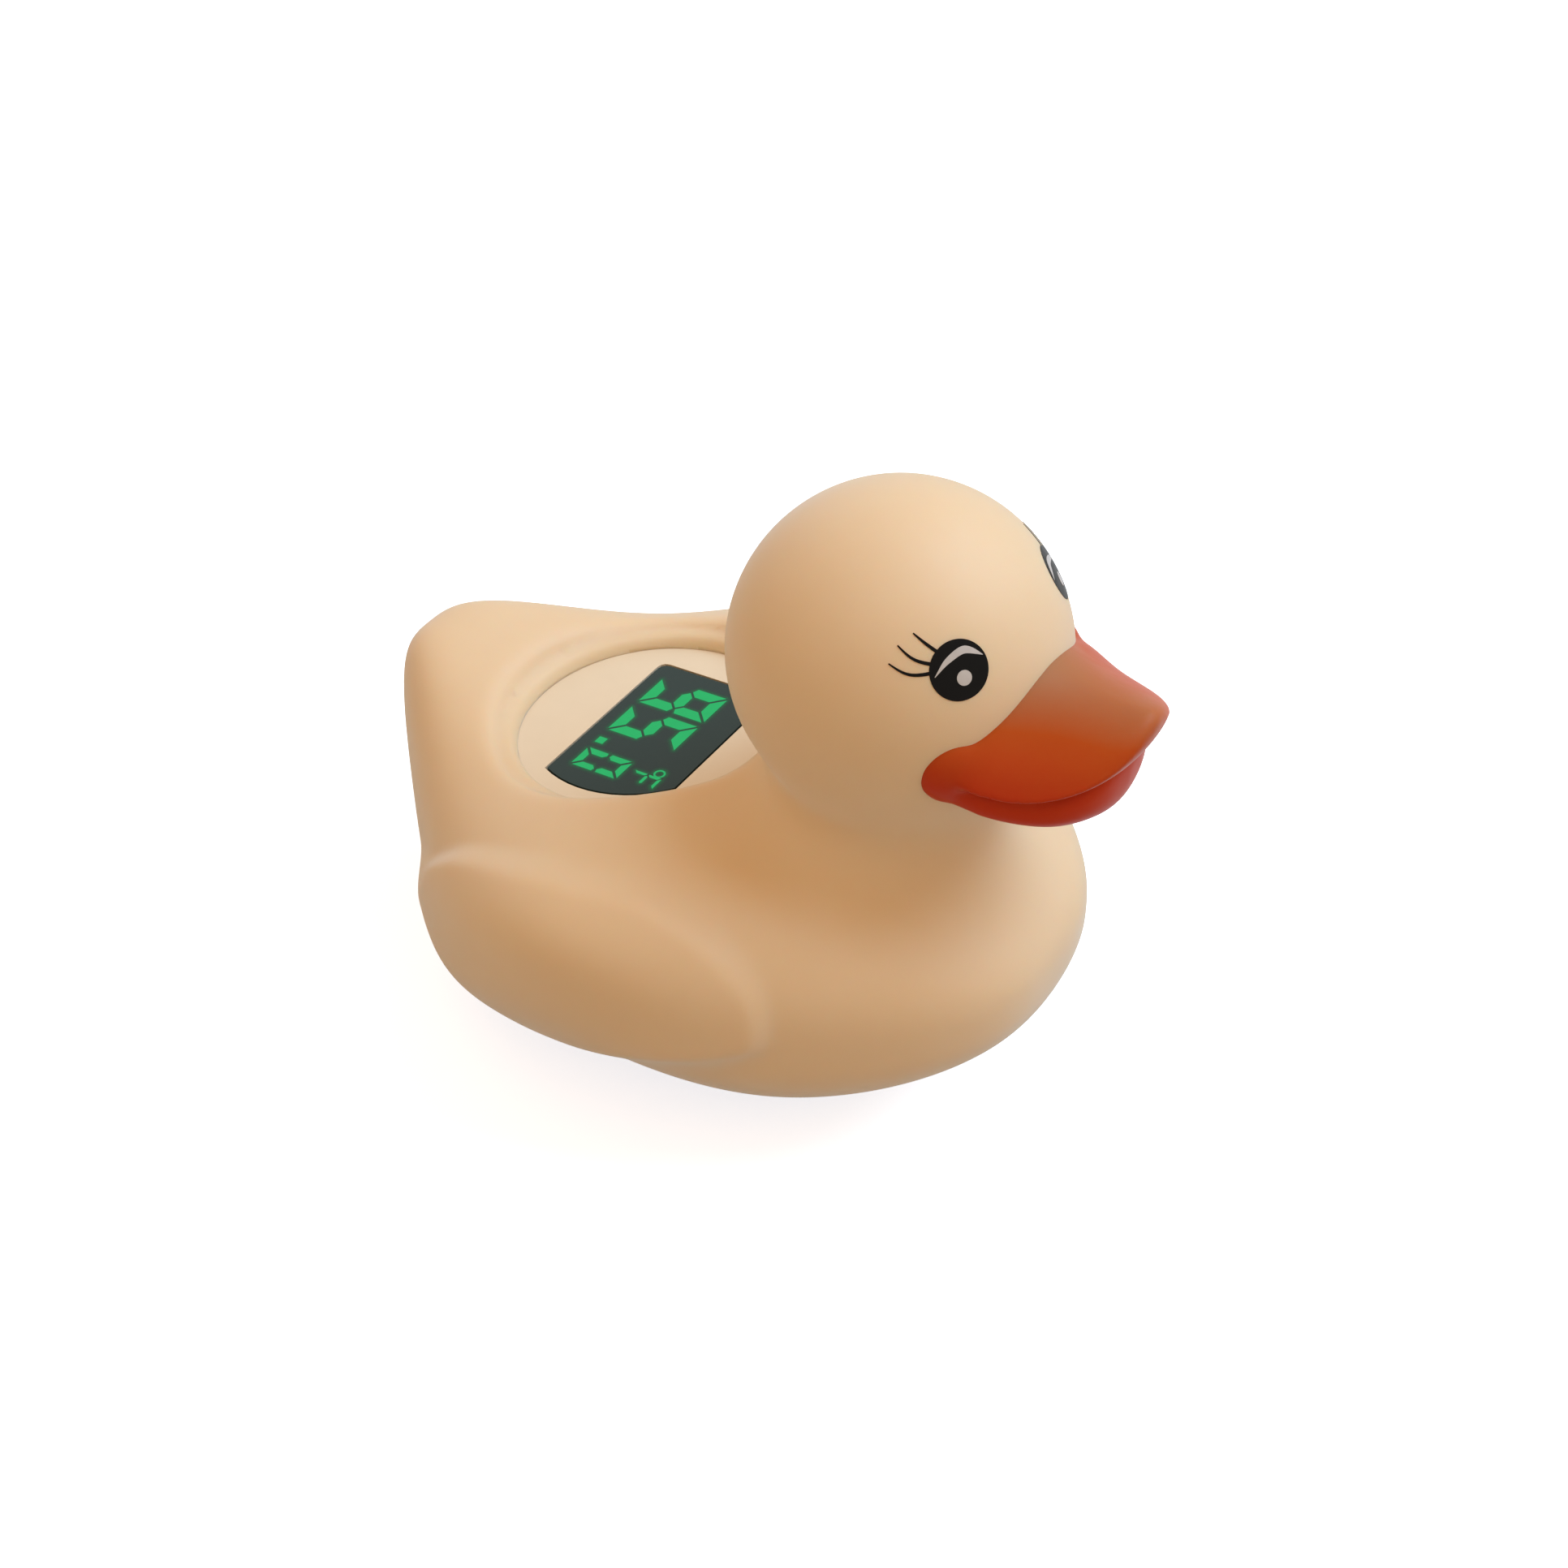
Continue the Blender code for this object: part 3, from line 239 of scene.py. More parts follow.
# %% The duck's form
BODY_REAR = -54.15
BODY_LENGTH = 98.2
BODY_REAR_ROUND = 2.97
BODY_FRONT_ROUND = 2.85
BODY_TOP_ROUND = 3.19
BODY_BOTTOM_ROUND = 2.0
BODY_HALF_WIDTH = (11.4, 29.4, 38.7, 33.8, 25.5)
BODY_TOP = (51.6, 39.0, 42.8, 41.8, 37.6)
BODY_BOTTOM = (5.6, 2.4, 0.3, 1.5, 9.5)
BODY_MIDDLE = (26.4, 15.0, 28.8, 22.8, 23.5)
HEAD = np.array((20.75, 0.0, 63.9))
HEAD_RADIUS = 20.1
JAW_BLEND = 5.0
NECK_RADIUS = 13.6
NECK_BLEND = 9.0
NECK_MIDDLE = 45.0
NECK_HALF = 15.0


def smooth_min(a, b, k):
    """The lower of two distances, rounded where they meet."""
    h = np.clip(0.5 + 0.5 * (b - a) / k, 0.0, 1.0)
    return b + (a - b) * h - k * h * (1.0 - h)


def smooth_max(a, b, k):
    return -smooth_min(-a, -b, k)


def curve_through(values):
    """A natural cubic through evenly spaced values, read with 0 to 1 along it."""
    ys = np.asarray(values, float)
    n = len(ys)
    matrix, right = np.eye(n), np.zeros(n)
    for i in range(1, n - 1):
        matrix[i, i - 1 : i + 2] = (1.0, 4.0, 1.0)
        right[i] = 6.0 * (ys[i + 1] - 2.0 * ys[i] + ys[i - 1])
    bend = np.linalg.solve(matrix, right)

    def value(t):
        s = np.clip(t, 0.0, 1.0) * (n - 1)
        i = np.clip(s.astype(int), 0, n - 2)
        f = s - i
        g = 1.0 - f
        return g * ys[i] + f * ys[i + 1] + ((g**3 - g) * bend[i] + (f**3 - f) * bend[i + 1]) / 6.0

    return value


half_width = curve_through(BODY_HALF_WIDTH)
top_height = curve_through(BODY_TOP)
bottom_height = curve_through(BODY_BOTTOM)
middle_height = curve_through(BODY_MIDDLE)


def body_level(p):
    """1 on the body's skin and less inside it."""
    along = (p[:, 0] - BODY_REAR) / BODY_LENGTH
    middle = middle_height(along)
    rise = p[:, 2] - middle
    above = rise >= 0.0
    reach = np.where(above, top_height(along) - middle, middle - bottom_height(along))
    n = np.where(above, BODY_TOP_ROUND, BODY_BOTTOM_ROUND)
    section = (np.abs(p[:, 1] / half_width(along)) ** n + np.abs(rise / reach) ** n) ** (1.0 / n)
    k = 2.0 * along - 1.0
    e = np.where(k < 0.0, BODY_REAR_ROUND, BODY_FRONT_ROUND)
    return (np.abs(k) ** e + section**e) ** (1.0 / e)


def slope(field, p, step=0.2):
    """Gradient of a field at many points, by small steps along each axis."""
    here = field(p)
    moved = [field(p + step * axis) for axis in np.eye(3)]
    return here, np.stack([(m - here) / step for m in moved], axis=-1)


def duck_distance(p):
    level, change = slope(body_level, p)
    body = (level - 1.0) / np.maximum(np.linalg.norm(change, axis=-1), 1e-3)
    head = np.linalg.norm(p - HEAD, axis=-1) - HEAD_RADIUS
    neck = np.hypot(p[:, 0] - HEAD[0], p[:, 1]) - NECK_RADIUS
    neck = np.maximum(neck, np.abs(p[:, 2] - NECK_MIDDLE) - NECK_HALF)
    return smooth_min(body, smooth_min(head, neck, JAW_BLEND), NECK_BLEND)


print("crown at", round(HEAD[2] + HEAD_RADIUS, 1), "mm")

# %% [markdown]
# The display lies at the bottom of a round well, square to its tilted face, with a wider and
# shallower dish round the well's mouth. The wall leans outward a little, as a moulded one must
# to leave the mould. Taking both away with a rounded maximum gives the soft rolled lip in one
# step, where a boolean would leave a hard edge to bevel. The hole for the capsule's base is
# taken out of the belly in the same way, with a tight corner.

# %% The two openings
FACE_CENTRE = np.array((-15.05, 0.0, 35.6))
FACE_PITCH = math.radians(5.8)
WELL_RADIUS = 17.6
WELL_SLOPE = 0.18
WELL_SLOPE_TOP = 6.0
WELL_FLOOR = -4.0
WELL_LIP = 1.8
DISH_RADIUS = 19.4
DISH_FLOOR = 2.3
DISH_LIP = 3.2
COLUMN_X = -12.45
BASE_HOLE = 16.3
HOLE_TOP = 6.0
HOLE_LIP = 1.6
FACE = Matrix.Translation(Vector(FACE_CENTRE)) @ Matrix.Rotation(-FACE_PITCH, 4, "Y")


def in_face(p):
    """Radius and height of points in the tilted frame of the display's face."""
    d = p - FACE_CENTRE
    c, s = math.cos(FACE_PITCH), math.sin(FACE_PITCH)
    along = d[:, 0] * c + d[:, 2] * s
    return np.hypot(along, d[:, 1]), d[:, 2] * c - d[:, 0] * s


def skin_distance(p):
    radius, height = in_face(p)
    dish = np.maximum(radius - DISH_RADIUS, DISH_FLOOR - height)
    wall = radius - WELL_RADIUS - WELL_SLOPE * np.clip(height, 0.0, WELL_SLOPE_TOP)
    well = np.maximum(wall, WELL_FLOOR - height)
    hole = np.maximum(np.hypot(p[:, 0] - COLUMN_X, p[:, 1]) - BASE_HOLE, p[:, 2] - HOLE_TOP)
    dished = smooth_max(duck_distance(p), -dish, DISH_LIP)
    return smooth_max(smooth_max(dished, -well, WELL_LIP), -hole, HOLE_LIP)


print("well:", 2 * WELL_RADIUS, "mm across")

# %% [markdown]
# A formula has no mesh. The first lump is made the way a boat is: ribs on a bent keel, each a
# circle pulled out to the skin, with the planks bridged between them. The keel runs straight
# through the body, turns upward round the nape and rises through the head to the crown, so
# that no two ribs cross.

# %% Ribs and rays
NAPE = np.array((-1.45, 0.0, 50.0))
KEEL_RADIUS = 28.0
KEEL_END = 22.2
TAIL_RIBS = 40
NAPE_RIBS = 26
HEAD_RIBS = 20
TAIL_PLUG = 0.5
CROWN_PLUG = 0.3
RAY_LENGTH = 62.0
RAY_STEPS = 94
HALVINGS = 14


def ribs():
    """Centre and upward axis of each rib, from the tail round the nape to the crown."""
    found = []
    reach = NAPE[0] - BODY_REAR
    for i in range(1, TAIL_RIBS + 1):
        x = NAPE[0] - reach * math.cos(0.5 * math.pi * i / (TAIL_RIBS + TAIL_PLUG))
        found.append(((x, 0.0, NAPE[2] - KEEL_RADIUS), (0.0, 0.0, 1.0)))
    for i in range(NAPE_RIBS):
        t = (i + 0.5) / NAPE_RIBS
        a = 0.5 * math.pi * t
        far = KEEL_RADIUS + (KEEL_END - KEEL_RADIUS) * t
        centre = (NAPE[0] + far * math.sin(a), 0.0, NAPE[2] - far * math.cos(a))
        found.append((centre, (-math.sin(a), 0.0, math.cos(a))))
    start = math.asin((NAPE[2] - HEAD[2]) / HEAD_RADIUS)
    for i in range(HEAD_RIBS):
        a = start + (0.5 * math.pi - start) * i / (HEAD_RIBS + CROWN_PLUG)
        found.append(((HEAD[0], 0.0, HEAD[2] + HEAD_RADIUS * math.sin(a)), (-1.0, 0.0, 0.0)))
    return found


def reach_skin(centre, rays, field):
    """How far each ray runs from the centre before it first leaves the skin."""
    steps = np.linspace(0.0, RAY_LENGTH, RAY_STEPS)
    grid = centre + steps[:, None, None] * rays[None]
    outside = field(grid.reshape(-1, 3)).reshape(grid.shape[:2]) > 0.0
    outside[-1] = True
    first = np.maximum(np.argmax(outside, axis=0), 1)
    low, high = steps[first - 1], steps[first]
    for _ in range(HALVINGS):
        middle = 0.5 * (low + high)
        out = field(centre + middle[:, None] * rays) > 0.0
        high = np.where(out, middle, high)
        low = np.where(out, low, middle)
    return low


print("ribs:", len(ribs()))

# %% [markdown]
# Every piece is drawn with bmesh in millimetres and becomes an object in one place. Modifiers
# are baked at once, so that the next step always works on a plain mesh.

# %% Making and cutting pieces
ROD_SIDES = 96


def new_piece(name, bm, material=None, smooth=True):
    """Makes an object at the origin from a bmesh in millimetres."""
    bmesh.ops.scale(bm, vec=(MM, MM, MM), verts=bm.verts)
    mesh = bpy.data.meshes.new(name)
    bm.to_mesh(mesh)
    bm.free()
    if smooth:
        mesh.shade_smooth()
    if material:
        mesh.materials.append(material)
    piece = bpy.data.objects.new(name, mesh)
    bpy.context.scene.collection.objects.link(piece)
    return piece


def rod(radius, low, high, place):
    """A plain round cutter."""
    bm = bmesh.new()
    bmesh.ops.create_cone(
        bm, cap_ends=True, segments=ROD_SIDES, radius1=radius, radius2=radius, depth=high - low
    )
    bmesh.ops.translate(bm, verts=bm.verts, vec=(0.0, 0.0, 0.5 * (low + high)))
    bmesh.ops.transform(bm, verts=bm.verts, matrix=place)
    return new_piece("rod", bm)


def apply_modifiers(piece):
    """Bakes a piece's modifiers into its mesh."""
    bpy.context.view_layer.update()
    graph = bpy.context.evaluated_depsgraph_get()
    made = bpy.data.meshes.new_from_object(piece.evaluated_get(graph))
    old = piece.data
    piece.modifiers.clear()
    piece.data = made
    made.name = piece.name
    bpy.data.meshes.remove(old)


def cut(piece, *cutters):
    for cutter in cutters:
        step = piece.modifiers.new("cut", "BOOLEAN")
        step.operation = "DIFFERENCE"
        step.solver = "EXACT"
        step.object = cutter
    apply_modifiers(piece)
    for cutter in cutters:
        bpy.data.objects.remove(cutter)


print("piece tools ready")

# %% [markdown]
# The ribs stop just short of the tail's end and of the crown, and a flat plug closes each. Two
# rough cutters open the well and the base hole, and a voxel remesh turns the lump into even
# quads. Their points are only roughly on the skin, which the next cell puts right.

# %% The first lump
RIB_POINTS = 72
ABOVE_SKIN = 9.0
BELOW_SKIN = -5.0
VOXEL = 0.79


def lump():
    bm = bmesh.new()
    angles = 2.0 * math.pi * np.arange(RIB_POINTS) / RIB_POINTS
    loops = []
    for centre, up in ribs():
        rays = np.outer(np.cos(angles), (0.0, 1.0, 0.0)) + np.outer(np.sin(angles), up)
        reach = reach_skin(np.array(centre), rays, duck_distance)
        ring = bmesh.ops.create_circle(bm, segments=RIB_POINTS, radius=1.0)["verts"]
        for vert, point in zip(ring, np.array(centre) + reach[:, None] * rays):
            vert.co = point
        loops.append(list({e for v in ring for e in v.link_edges}))
    for first, second in zip(loops[:-1], loops[1:]):
        bmesh.ops.bridge_loops(bm, edges=first + second)
    for end in (loops[0], loops[-1]):
        bmesh.ops.edgeloop_fill(bm, edges=end)
    bmesh.ops.recalc_face_normals(bm, faces=bm.faces)
    return new_piece("lump", bm)


body = lump()
cut(
    body,
    rod(WELL_RADIUS, WELL_FLOOR, ABOVE_SKIN, FACE),
    rod(BASE_HOLE, BELOW_SKIN, HOLE_TOP, Matrix.Translation((COLUMN_X, 0.0, 0.0))),
)
remesh = body.modifiers.new("even", "REMESH")
remesh.mode = "VOXEL"
remesh.voxel_size = VOXEL * MM
apply_modifiers(body)
print("lump:", len(body.data.vertices), "points after the remesh")

# %% [markdown]
# Newton's rule moves each point by its distance along the steepest direction. A few rounds
# with a light smoothing between them leave even quads that lie on the formula.

# %% Slide the points onto the skin
SLOPE_STEP = 0.05
LEAST_STEEP = 0.05
LONGEST_MOVE = 0.8


def points_of(mesh):
    flat = np.empty(3 * len(mesh.vertices), np.float32)
    mesh.vertices.foreach_get("co", flat)
    return flat.reshape(-1, 3).astype(float) / MM


def set_points(mesh, p):
    mesh.vertices.foreach_set("co", (p * MM).astype(np.float32).ravel())
    mesh.update()


def slide(mesh, field, rounds):
    p = points_of(mesh)
    for _ in range(rounds):
        here, change = slope(field, p, SLOPE_STEP)
        steep = np.maximum((change**2).sum(axis=-1), LEAST_STEEP)
        move = here[:, None] * change / steep[:, None]
        length = np.linalg.norm(move, axis=-1, keepdims=True)
        p -= move * np.minimum(1.0, LONGEST_MOVE / np.maximum(length, 1e-9))
    set_points(mesh, p)
    return np.abs(here).mean()


def relax(mesh, rounds, near=lambda place: True):
    """Moves each point near the asked place halfway to the middle of its neighbours."""
    bm = bmesh.new()
    bm.from_mesh(mesh)
    chosen = [v for v in bm.verts if near(v.co)]
    for _ in range(rounds):
        bmesh.ops.smooth_vert(
            bm, verts=chosen, factor=0.5, use_axis_x=True, use_axis_y=True, use_axis_z=True
        )
    bm.to_mesh(mesh)
    bm.free()


for _ in range(3):
    relax(body.data, 2)
    off = slide(body.data, skin_distance, 4)
print("mean distance from the skin:", round(off, 4), "mm")

# %% [markdown]
# Some details are drawn as closed outlines. Two questions are asked of such an outline: the
# smooth curve through its points, and how far any place lies inside or outside it. A third
# helper turns a measure into a soft step.

# %% Outline tools
def rounded_outline(points, steps=6):
    """A closed curve through the points, parallel at each to the line between its neighbours."""
    p = np.asarray(points, float)
    a, d, e = np.roll(p, 1, axis=0), np.roll(p, -1, axis=0), np.roll(p, -2, axis=0)
    found = []
    for i in range(len(p)):
        for t in np.arange(steps) / steps:
            square = (2 * a[i] - 5 * p[i] + 4 * d[i] - e[i]) * t**2
            cube = (3 * p[i] - a[i] - 3 * d[i] + e[i]) * t**3
            found.append(0.5 * (2 * p[i] + (d[i] - a[i]) * t + square + cube))
    return found


def outline_distance(x, y, outline):
    """Distance to a closed outline, negative inside it."""
    pts = np.asarray(outline, float)
    best, inside = np.full(x.shape, 1e9), np.zeros(x.shape, bool)
    for (ax, ay), (bx, by) in zip(pts, np.roll(pts, -1, axis=0)):
        ex, ey = bx - ax, by - ay
        t = np.clip(((x - ax) * ex + (y - ay) * ey) / (ex * ex + ey * ey), 0.0, 1.0)
        best = np.minimum(best, np.hypot(x - ax - t * ex, y - ay - t * ey))
        at = ax + (y - ay) * ex / (ey if abs(ey) > 1e-9 else 1e-9)
        inside ^= ((ay > y) != (by > y)) & (x < at)
    return np.where(inside, -best, best)


def ease(s):
    s = np.clip(s, 0.0, 1.0)
    return s * s * (3.0 - 2.0 * s)


def ramp(value, span):
    """0 at the span's first end and 1 at its last, with a soft start and stop."""
    return ease((value - span[0]) / (span[1] - span[0]))


print("soft step halfway:", ease(0.5))

# %% [markdown]
# Each wing is a low relief with one clear edge, raised on the wall and not a piece of its own.
# Its outline is a closed smooth curve in the side view. Points inside it move out along the
# wall's own direction. The step is nearly halfway up on the outline, short along the back edge
# and long toward the tip and the belly, where the relief fades. The well's wall keeps still.

# %% Wings
WING_OUTLINE = (
    (-42.5, 8.0), (-39.5, 13.5), (-35.3, 19.6), (-27.1, 28.6), (-20.2, 33.8), (-8.5, 39.0), (1.6, 40.7),
    (8.0, 40.0), (14.5, 37.7), (20.5, 33.0), (22.0, 27.2), (19.6, 23.7), (7.9, 19.9), (-3.4, 14.5),
    (-15.4, 9.5), (-29.4, 4.5),
)
WING_HEIGHT = 1.7
WING_TIP_HEIGHT = 1.4
WING_EDGE = 2.3
WING_SOFT_EDGE = 7.0
WING_BACK_RISE = 0.45
TIP_SOFTNESS = 0.15
TIP_SOFT_X = (4.0, 20.0)
BELLY_SOFT_Z = (27.5, 15.5)
TIP_LOW_X = (-10.0, 20.0)
SIDE_REACH = (12.0, 20.0)
WELL_CLEARANCE = (DISH_RADIUS, DISH_RADIUS + 3.0)


wing_curve = rounded_outline(WING_OUTLINE)
p = points_of(body.data)
flat = np.empty(3 * len(p), np.float32)
body.data.vertices.foreach_get("normal", flat)
outward = flat.reshape(-1, 3)
depth = -outline_distance(p[:, 0], p[:, 2], wing_curve)
softness = np.clip(TIP_SOFTNESS * ramp(p[:, 0], TIP_SOFT_X) + ramp(p[:, 2], BELLY_SOFT_Z), 0.0, 1.0)
edge = WING_EDGE + (WING_SOFT_EDGE - WING_EDGE) * softness
relief = WING_HEIGHT + (WING_TIP_HEIGHT - WING_HEIGHT) * ramp(p[:, 0], TIP_LOW_X)
allowed = ramp(np.abs(p[:, 1]), SIDE_REACH) * ramp(in_face(p)[0], WELL_CLEARANCE)
lift = relief * ease(depth / edge + WING_BACK_RISE) * allowed
set_points(body.data, p + outward * lift[:, None])
print("wing relief:", round(float(lift.max()), 2), "mm")

# %% [markdown]
# The casting is a shell, so the floor of the well and the roof of the base hole are opened and
# the wall gets its thickness inwards. A plane is cut through the well's wall first, just above
# the display's disc, because faces that are only picked by their place leave a ragged edge.

# %% Open the shell and give it a wall
WALL = 2.4
LIP_END = 0.02
CUT_REACH = 3.0
WELL_ROOM = 1.0
FLOOR_ROOM = 1.5
HOLE_ROOM = 0.15
ROOF_LOW = 2.5
ROOF_ROOM = 1.0


def near_well(vert):
    radius, height = in_face(np.array([vert.co]) / MM)
    return radius[0] < WELL_RADIUS + WELL_ROOM and abs(height[0] - LIP_END) < CUT_REACH


bm = bmesh.new()
bm.from_mesh(body.data)
ring = {v for v in bm.verts if near_well(v)}
faces = [f for f in bm.faces if all(v in ring for v in f.verts)]
edges = {e for f in faces for e in f.edges}
bmesh.ops.bisect_plane(
    bm,
    geom=list(ring) + list(edges) + faces,
    dist=1e-6,
    plane_co=FACE @ Vector((0.0, 0.0, LIP_END)) * MM,
    plane_no=FACE.to_3x3() @ Vector((0.0, 0.0, 1.0)),
)
centres = np.array([f.calc_center_median() for f in bm.faces]) / MM
radius, height = in_face(centres)
in_base = np.hypot(centres[:, 0] - COLUMN_X, centres[:, 1]) < BASE_HOLE - HOLE_ROOM
drop = (radius < WELL_RADIUS + WELL_ROOM) & (height < LIP_END) & (height > WELL_FLOOR - FLOOR_ROOM)
drop |= in_base & (centres[:, 2] > ROOF_LOW) & (centres[:, 2] < HOLE_TOP + ROOF_ROOM)
bmesh.ops.delete(bm, geom=[f for f, gone in zip(bm.faces[:], drop) if gone], context="FACES")
bmesh.ops.recalc_face_normals(bm, faces=bm.faces)
bm.to_mesh(body.data)
bm.free()
wall = body.modifiers.new("wall", "SOLIDIFY")
wall.thickness = WALL * MM
wall.offset = -1.0
apply_modifiers(body)
body.name = "duck_body"
body.data.name = "duck_body"
body.data.shade_smooth()
body.data.materials.clear()
body.data.materials.append(skin_vinyl)
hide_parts("duck_shell")
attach(body, "root")
print("body:", 2 * len(body.data.polygons), "triangles")

# %% [markdown]
# The beak is cast in one with the head and painted afterwards. Its surface is drawn like a
# boat's hull again: sections at stations along the beak, each with its own half width and its
# heights above and below the lip line. A squeeze on the flank makes it hollow above the lip,
# and a fine bead along the lip line is the thin bright rim of the upper half.

# %% Beak sections
BILL_X = (26.55, 30.55, 34.55, 38.55, 42.55, 46.55, 49.85, 52.0, 53.1, 53.5)
BILL_WIDE = (12.6, 13.5, 14.4, 14.1, 12.9, 11.2, 8.9, 6.0, 3.0, 0.0)
BILL_LIP = (60.4, 60.5, 60.8, 61.0, 60.7, 61.5, 63.0, 64.7, 66.3, 67.4)
BILL_RIDGE = (69.4, 69.9, 70.3, 70.2, 69.4, 68.8, 68.7, 68.8, 68.4, 67.6)
BILL_ROUND = (2.2, 2.2, 2.15, 1.95, 1.75, 1.65, 1.6, 1.6, 1.7, 1.8)
LIP_ROLL = 1.5
LIP_BEAD = 0.4
BEAD_START = 35.0
BEAD_SPREAD = 0.14
BEAD_FADE = 3.0
BEAD_NARROW = 4.0
ROLL_NARROW = 5.0
ROLL_LEAST = 0.1
FLANK_HOLLOW = 0.16
LOWER_X = (26.55, 30.55, 34.55, 38.55, 42.55, 46.35, 48.95, 50.45, 50.95)
LOWER_WIDE = (12.2, 13.0, 13.6, 13.4, 12.3, 10.4, 7.7, 4.2, 0.0)
LOWER_MIDDLE = (58.8, 58.8, 58.5, 58.0, 57.7, 57.8, 58.3, 58.9, 59.4)
LOWER_UP = (3.9, 3.9, 3.8, 3.7, 3.5, 3.3, 3.2, 2.9, 0.4)
LOWER_ROUND = 3.0
LOWER_DOWN = (4.6, 4.4, 4.2, 4.0, 3.8, 3.8, 3.7, 3.0, 0.4)
SECTIONS = 64
LAST_SECTION = 0.992
AROUND = 96


def power(value, exponent):
    return math.copysign(abs(value) ** exponent, value)


def hull(bm, stations, wides, middles, ups, downs, rounds, hollow):
    """Adds a closed hull whose sections follow smooth curves through the stations."""
    curves = [curve_through(values) for values in (stations, wides, middles, ups, downs, rounds)]
    loops = []
    for t in np.linspace(0.0, LAST_SECTION, SECTIONS):
        x, wide, middle, up, down, n_up = (float(curve(np.array(t))) for curve in curves)
        ring = bmesh.ops.create_circle(bm, segments=AROUND, radius=1.0)["verts"]
        for j, vert in enumerate(ring):
            a = 2.0 * math.pi * j / AROUND
            c, rise = math.cos(a), math.sin(a)
            n, high = (n_up, up) if rise >= 0.0 else (2.0, down)
            squeeze = 1.0 - hollow * math.sin(2.0 * a) ** 2 * (1.0 - t) if rise > 0.0 else 1.0
            edge = abs(math.asin(max(-1.0, min(1.0, rise))))
            bead = c * LIP_BEAD * math.exp(-((edge / BEAD_SPREAD) ** 2)) if hollow else 0.0
            bead *= min(1.0, wide / BEAD_NARROW) * min(1.0, max(0.0, (x - BEAD_START) / BEAD_FADE))
            side = power(c, 2.0 / n) * wide * squeeze + bead
            vert.co = (x, side, middle + power(rise, 2.0 / n) * high * squeeze)
        loops.append(list({e for v in ring for e in v.link_edges}))
    for first, second in zip(loops[:-1], loops[1:]):
        bmesh.ops.bridge_loops(bm, edges=first + second)
    for end in (loops[0], loops[-1]):
        bmesh.ops.edgeloop_fill(bm, edges=end)


bm = bmesh.new()
heights = [ridge - lip for ridge, lip in zip(BILL_RIDGE, BILL_LIP)]
rolls = [LIP_ROLL * min(1.0, wide / ROLL_NARROW + ROLL_LEAST) for wide in BILL_WIDE]
hull(bm, BILL_X, BILL_WIDE, BILL_LIP, heights, rolls, BILL_ROUND, FLANK_HOLLOW)
hull(bm, LOWER_X, LOWER_WIDE, LOWER_MIDDLE, LOWER_UP, LOWER_DOWN, [LOWER_ROUND] * len(LOWER_X), 0.0)
print("hulls:", len(bm.faces), "faces")

# %% [markdown]
# Round the corner of the mouth the orange skin runs on for a couple of millimetres, so a small
# egg closes the notch between the two hulls. One fine voxel remesh then fuses the three, and a
# few rounds of smoothing turn the seam into the soft crease that a moulded beak has. The
# corner gets many more rounds, so that the egg and the hulls flow into one outline.

# %% Fuse the beak
CORNER_AZIMUTH = math.radians(40.0)
CORNER_REACH = 18.95
CORNER_HEIGHT = 61.45
CORNER_SIZE = (2.5, 4.3, 4.6)
CORNER_ZONE = (38.6, 8.5, 67.6)
CORNER_ROUNDS = 22
CREASE_ROUNDS = 3
BILL_VOXEL = 0.3

for side in (-1.0, 1.0):
    egg = bmesh.ops.create_uvsphere(bm, u_segments=32, v_segments=16, radius=1.0)["verts"]
    bmesh.ops.scale(bm, vec=CORNER_SIZE, verts=egg)
    bmesh.ops.translate(bm, vec=(CORNER_REACH, 0.0, CORNER_HEIGHT), verts=egg)
    turn = Matrix.Rotation(side * CORNER_AZIMUTH, 3, "Z")
    bmesh.ops.rotate(bm, cent=(0.0, 0.0, 0.0), matrix=turn, verts=egg)
    bmesh.ops.translate(bm, vec=(HEAD[0], 0.0, 0.0), verts=egg)
bmesh.ops.recalc_face_normals(bm, faces=bm.faces)
beak = new_piece("duck_beak", bm)
fuse = beak.modifiers.new("fuse", "REMESH")
fuse.mode = "VOXEL"
fuse.voxel_size = BILL_VOXEL * MM
apply_modifiers(beak)
relax(beak.data, CREASE_ROUNDS)


def near_corner(place):
    x, y, z = place / MM
    return x < CORNER_ZONE[0] and abs(y) > CORNER_ZONE[1] and z < CORNER_ZONE[2]


relax(beak.data, CORNER_ROUNDS, near_corner)
relax(beak.data, 1)
beak.data.shade_smooth()
print("beak:", 2 * len(beak.data.polygons), "triangles")

# %% [markdown]
# The paint is sprayed through a mask: orange on the beak, turning redder and darker toward the
# lips. It is glossier than the skin, so the sky shows on its top, and the paler brown over the
# bridge is a painted reflection of that sky.

# %% Beak paint
PAINT_RED = (0.51, 0.042, 0.010)
PAINT_ORANGE = (0.50, 0.082, 0.011)
BRIDGE_REFLECTION = (0.42, 0.18, 0.085)
ORANGE_FROM = 60.5
ORANGE_SPAN = 6.5
BRIDGE_FROM = 66.4
BRIDGE_SPAN = 3.5


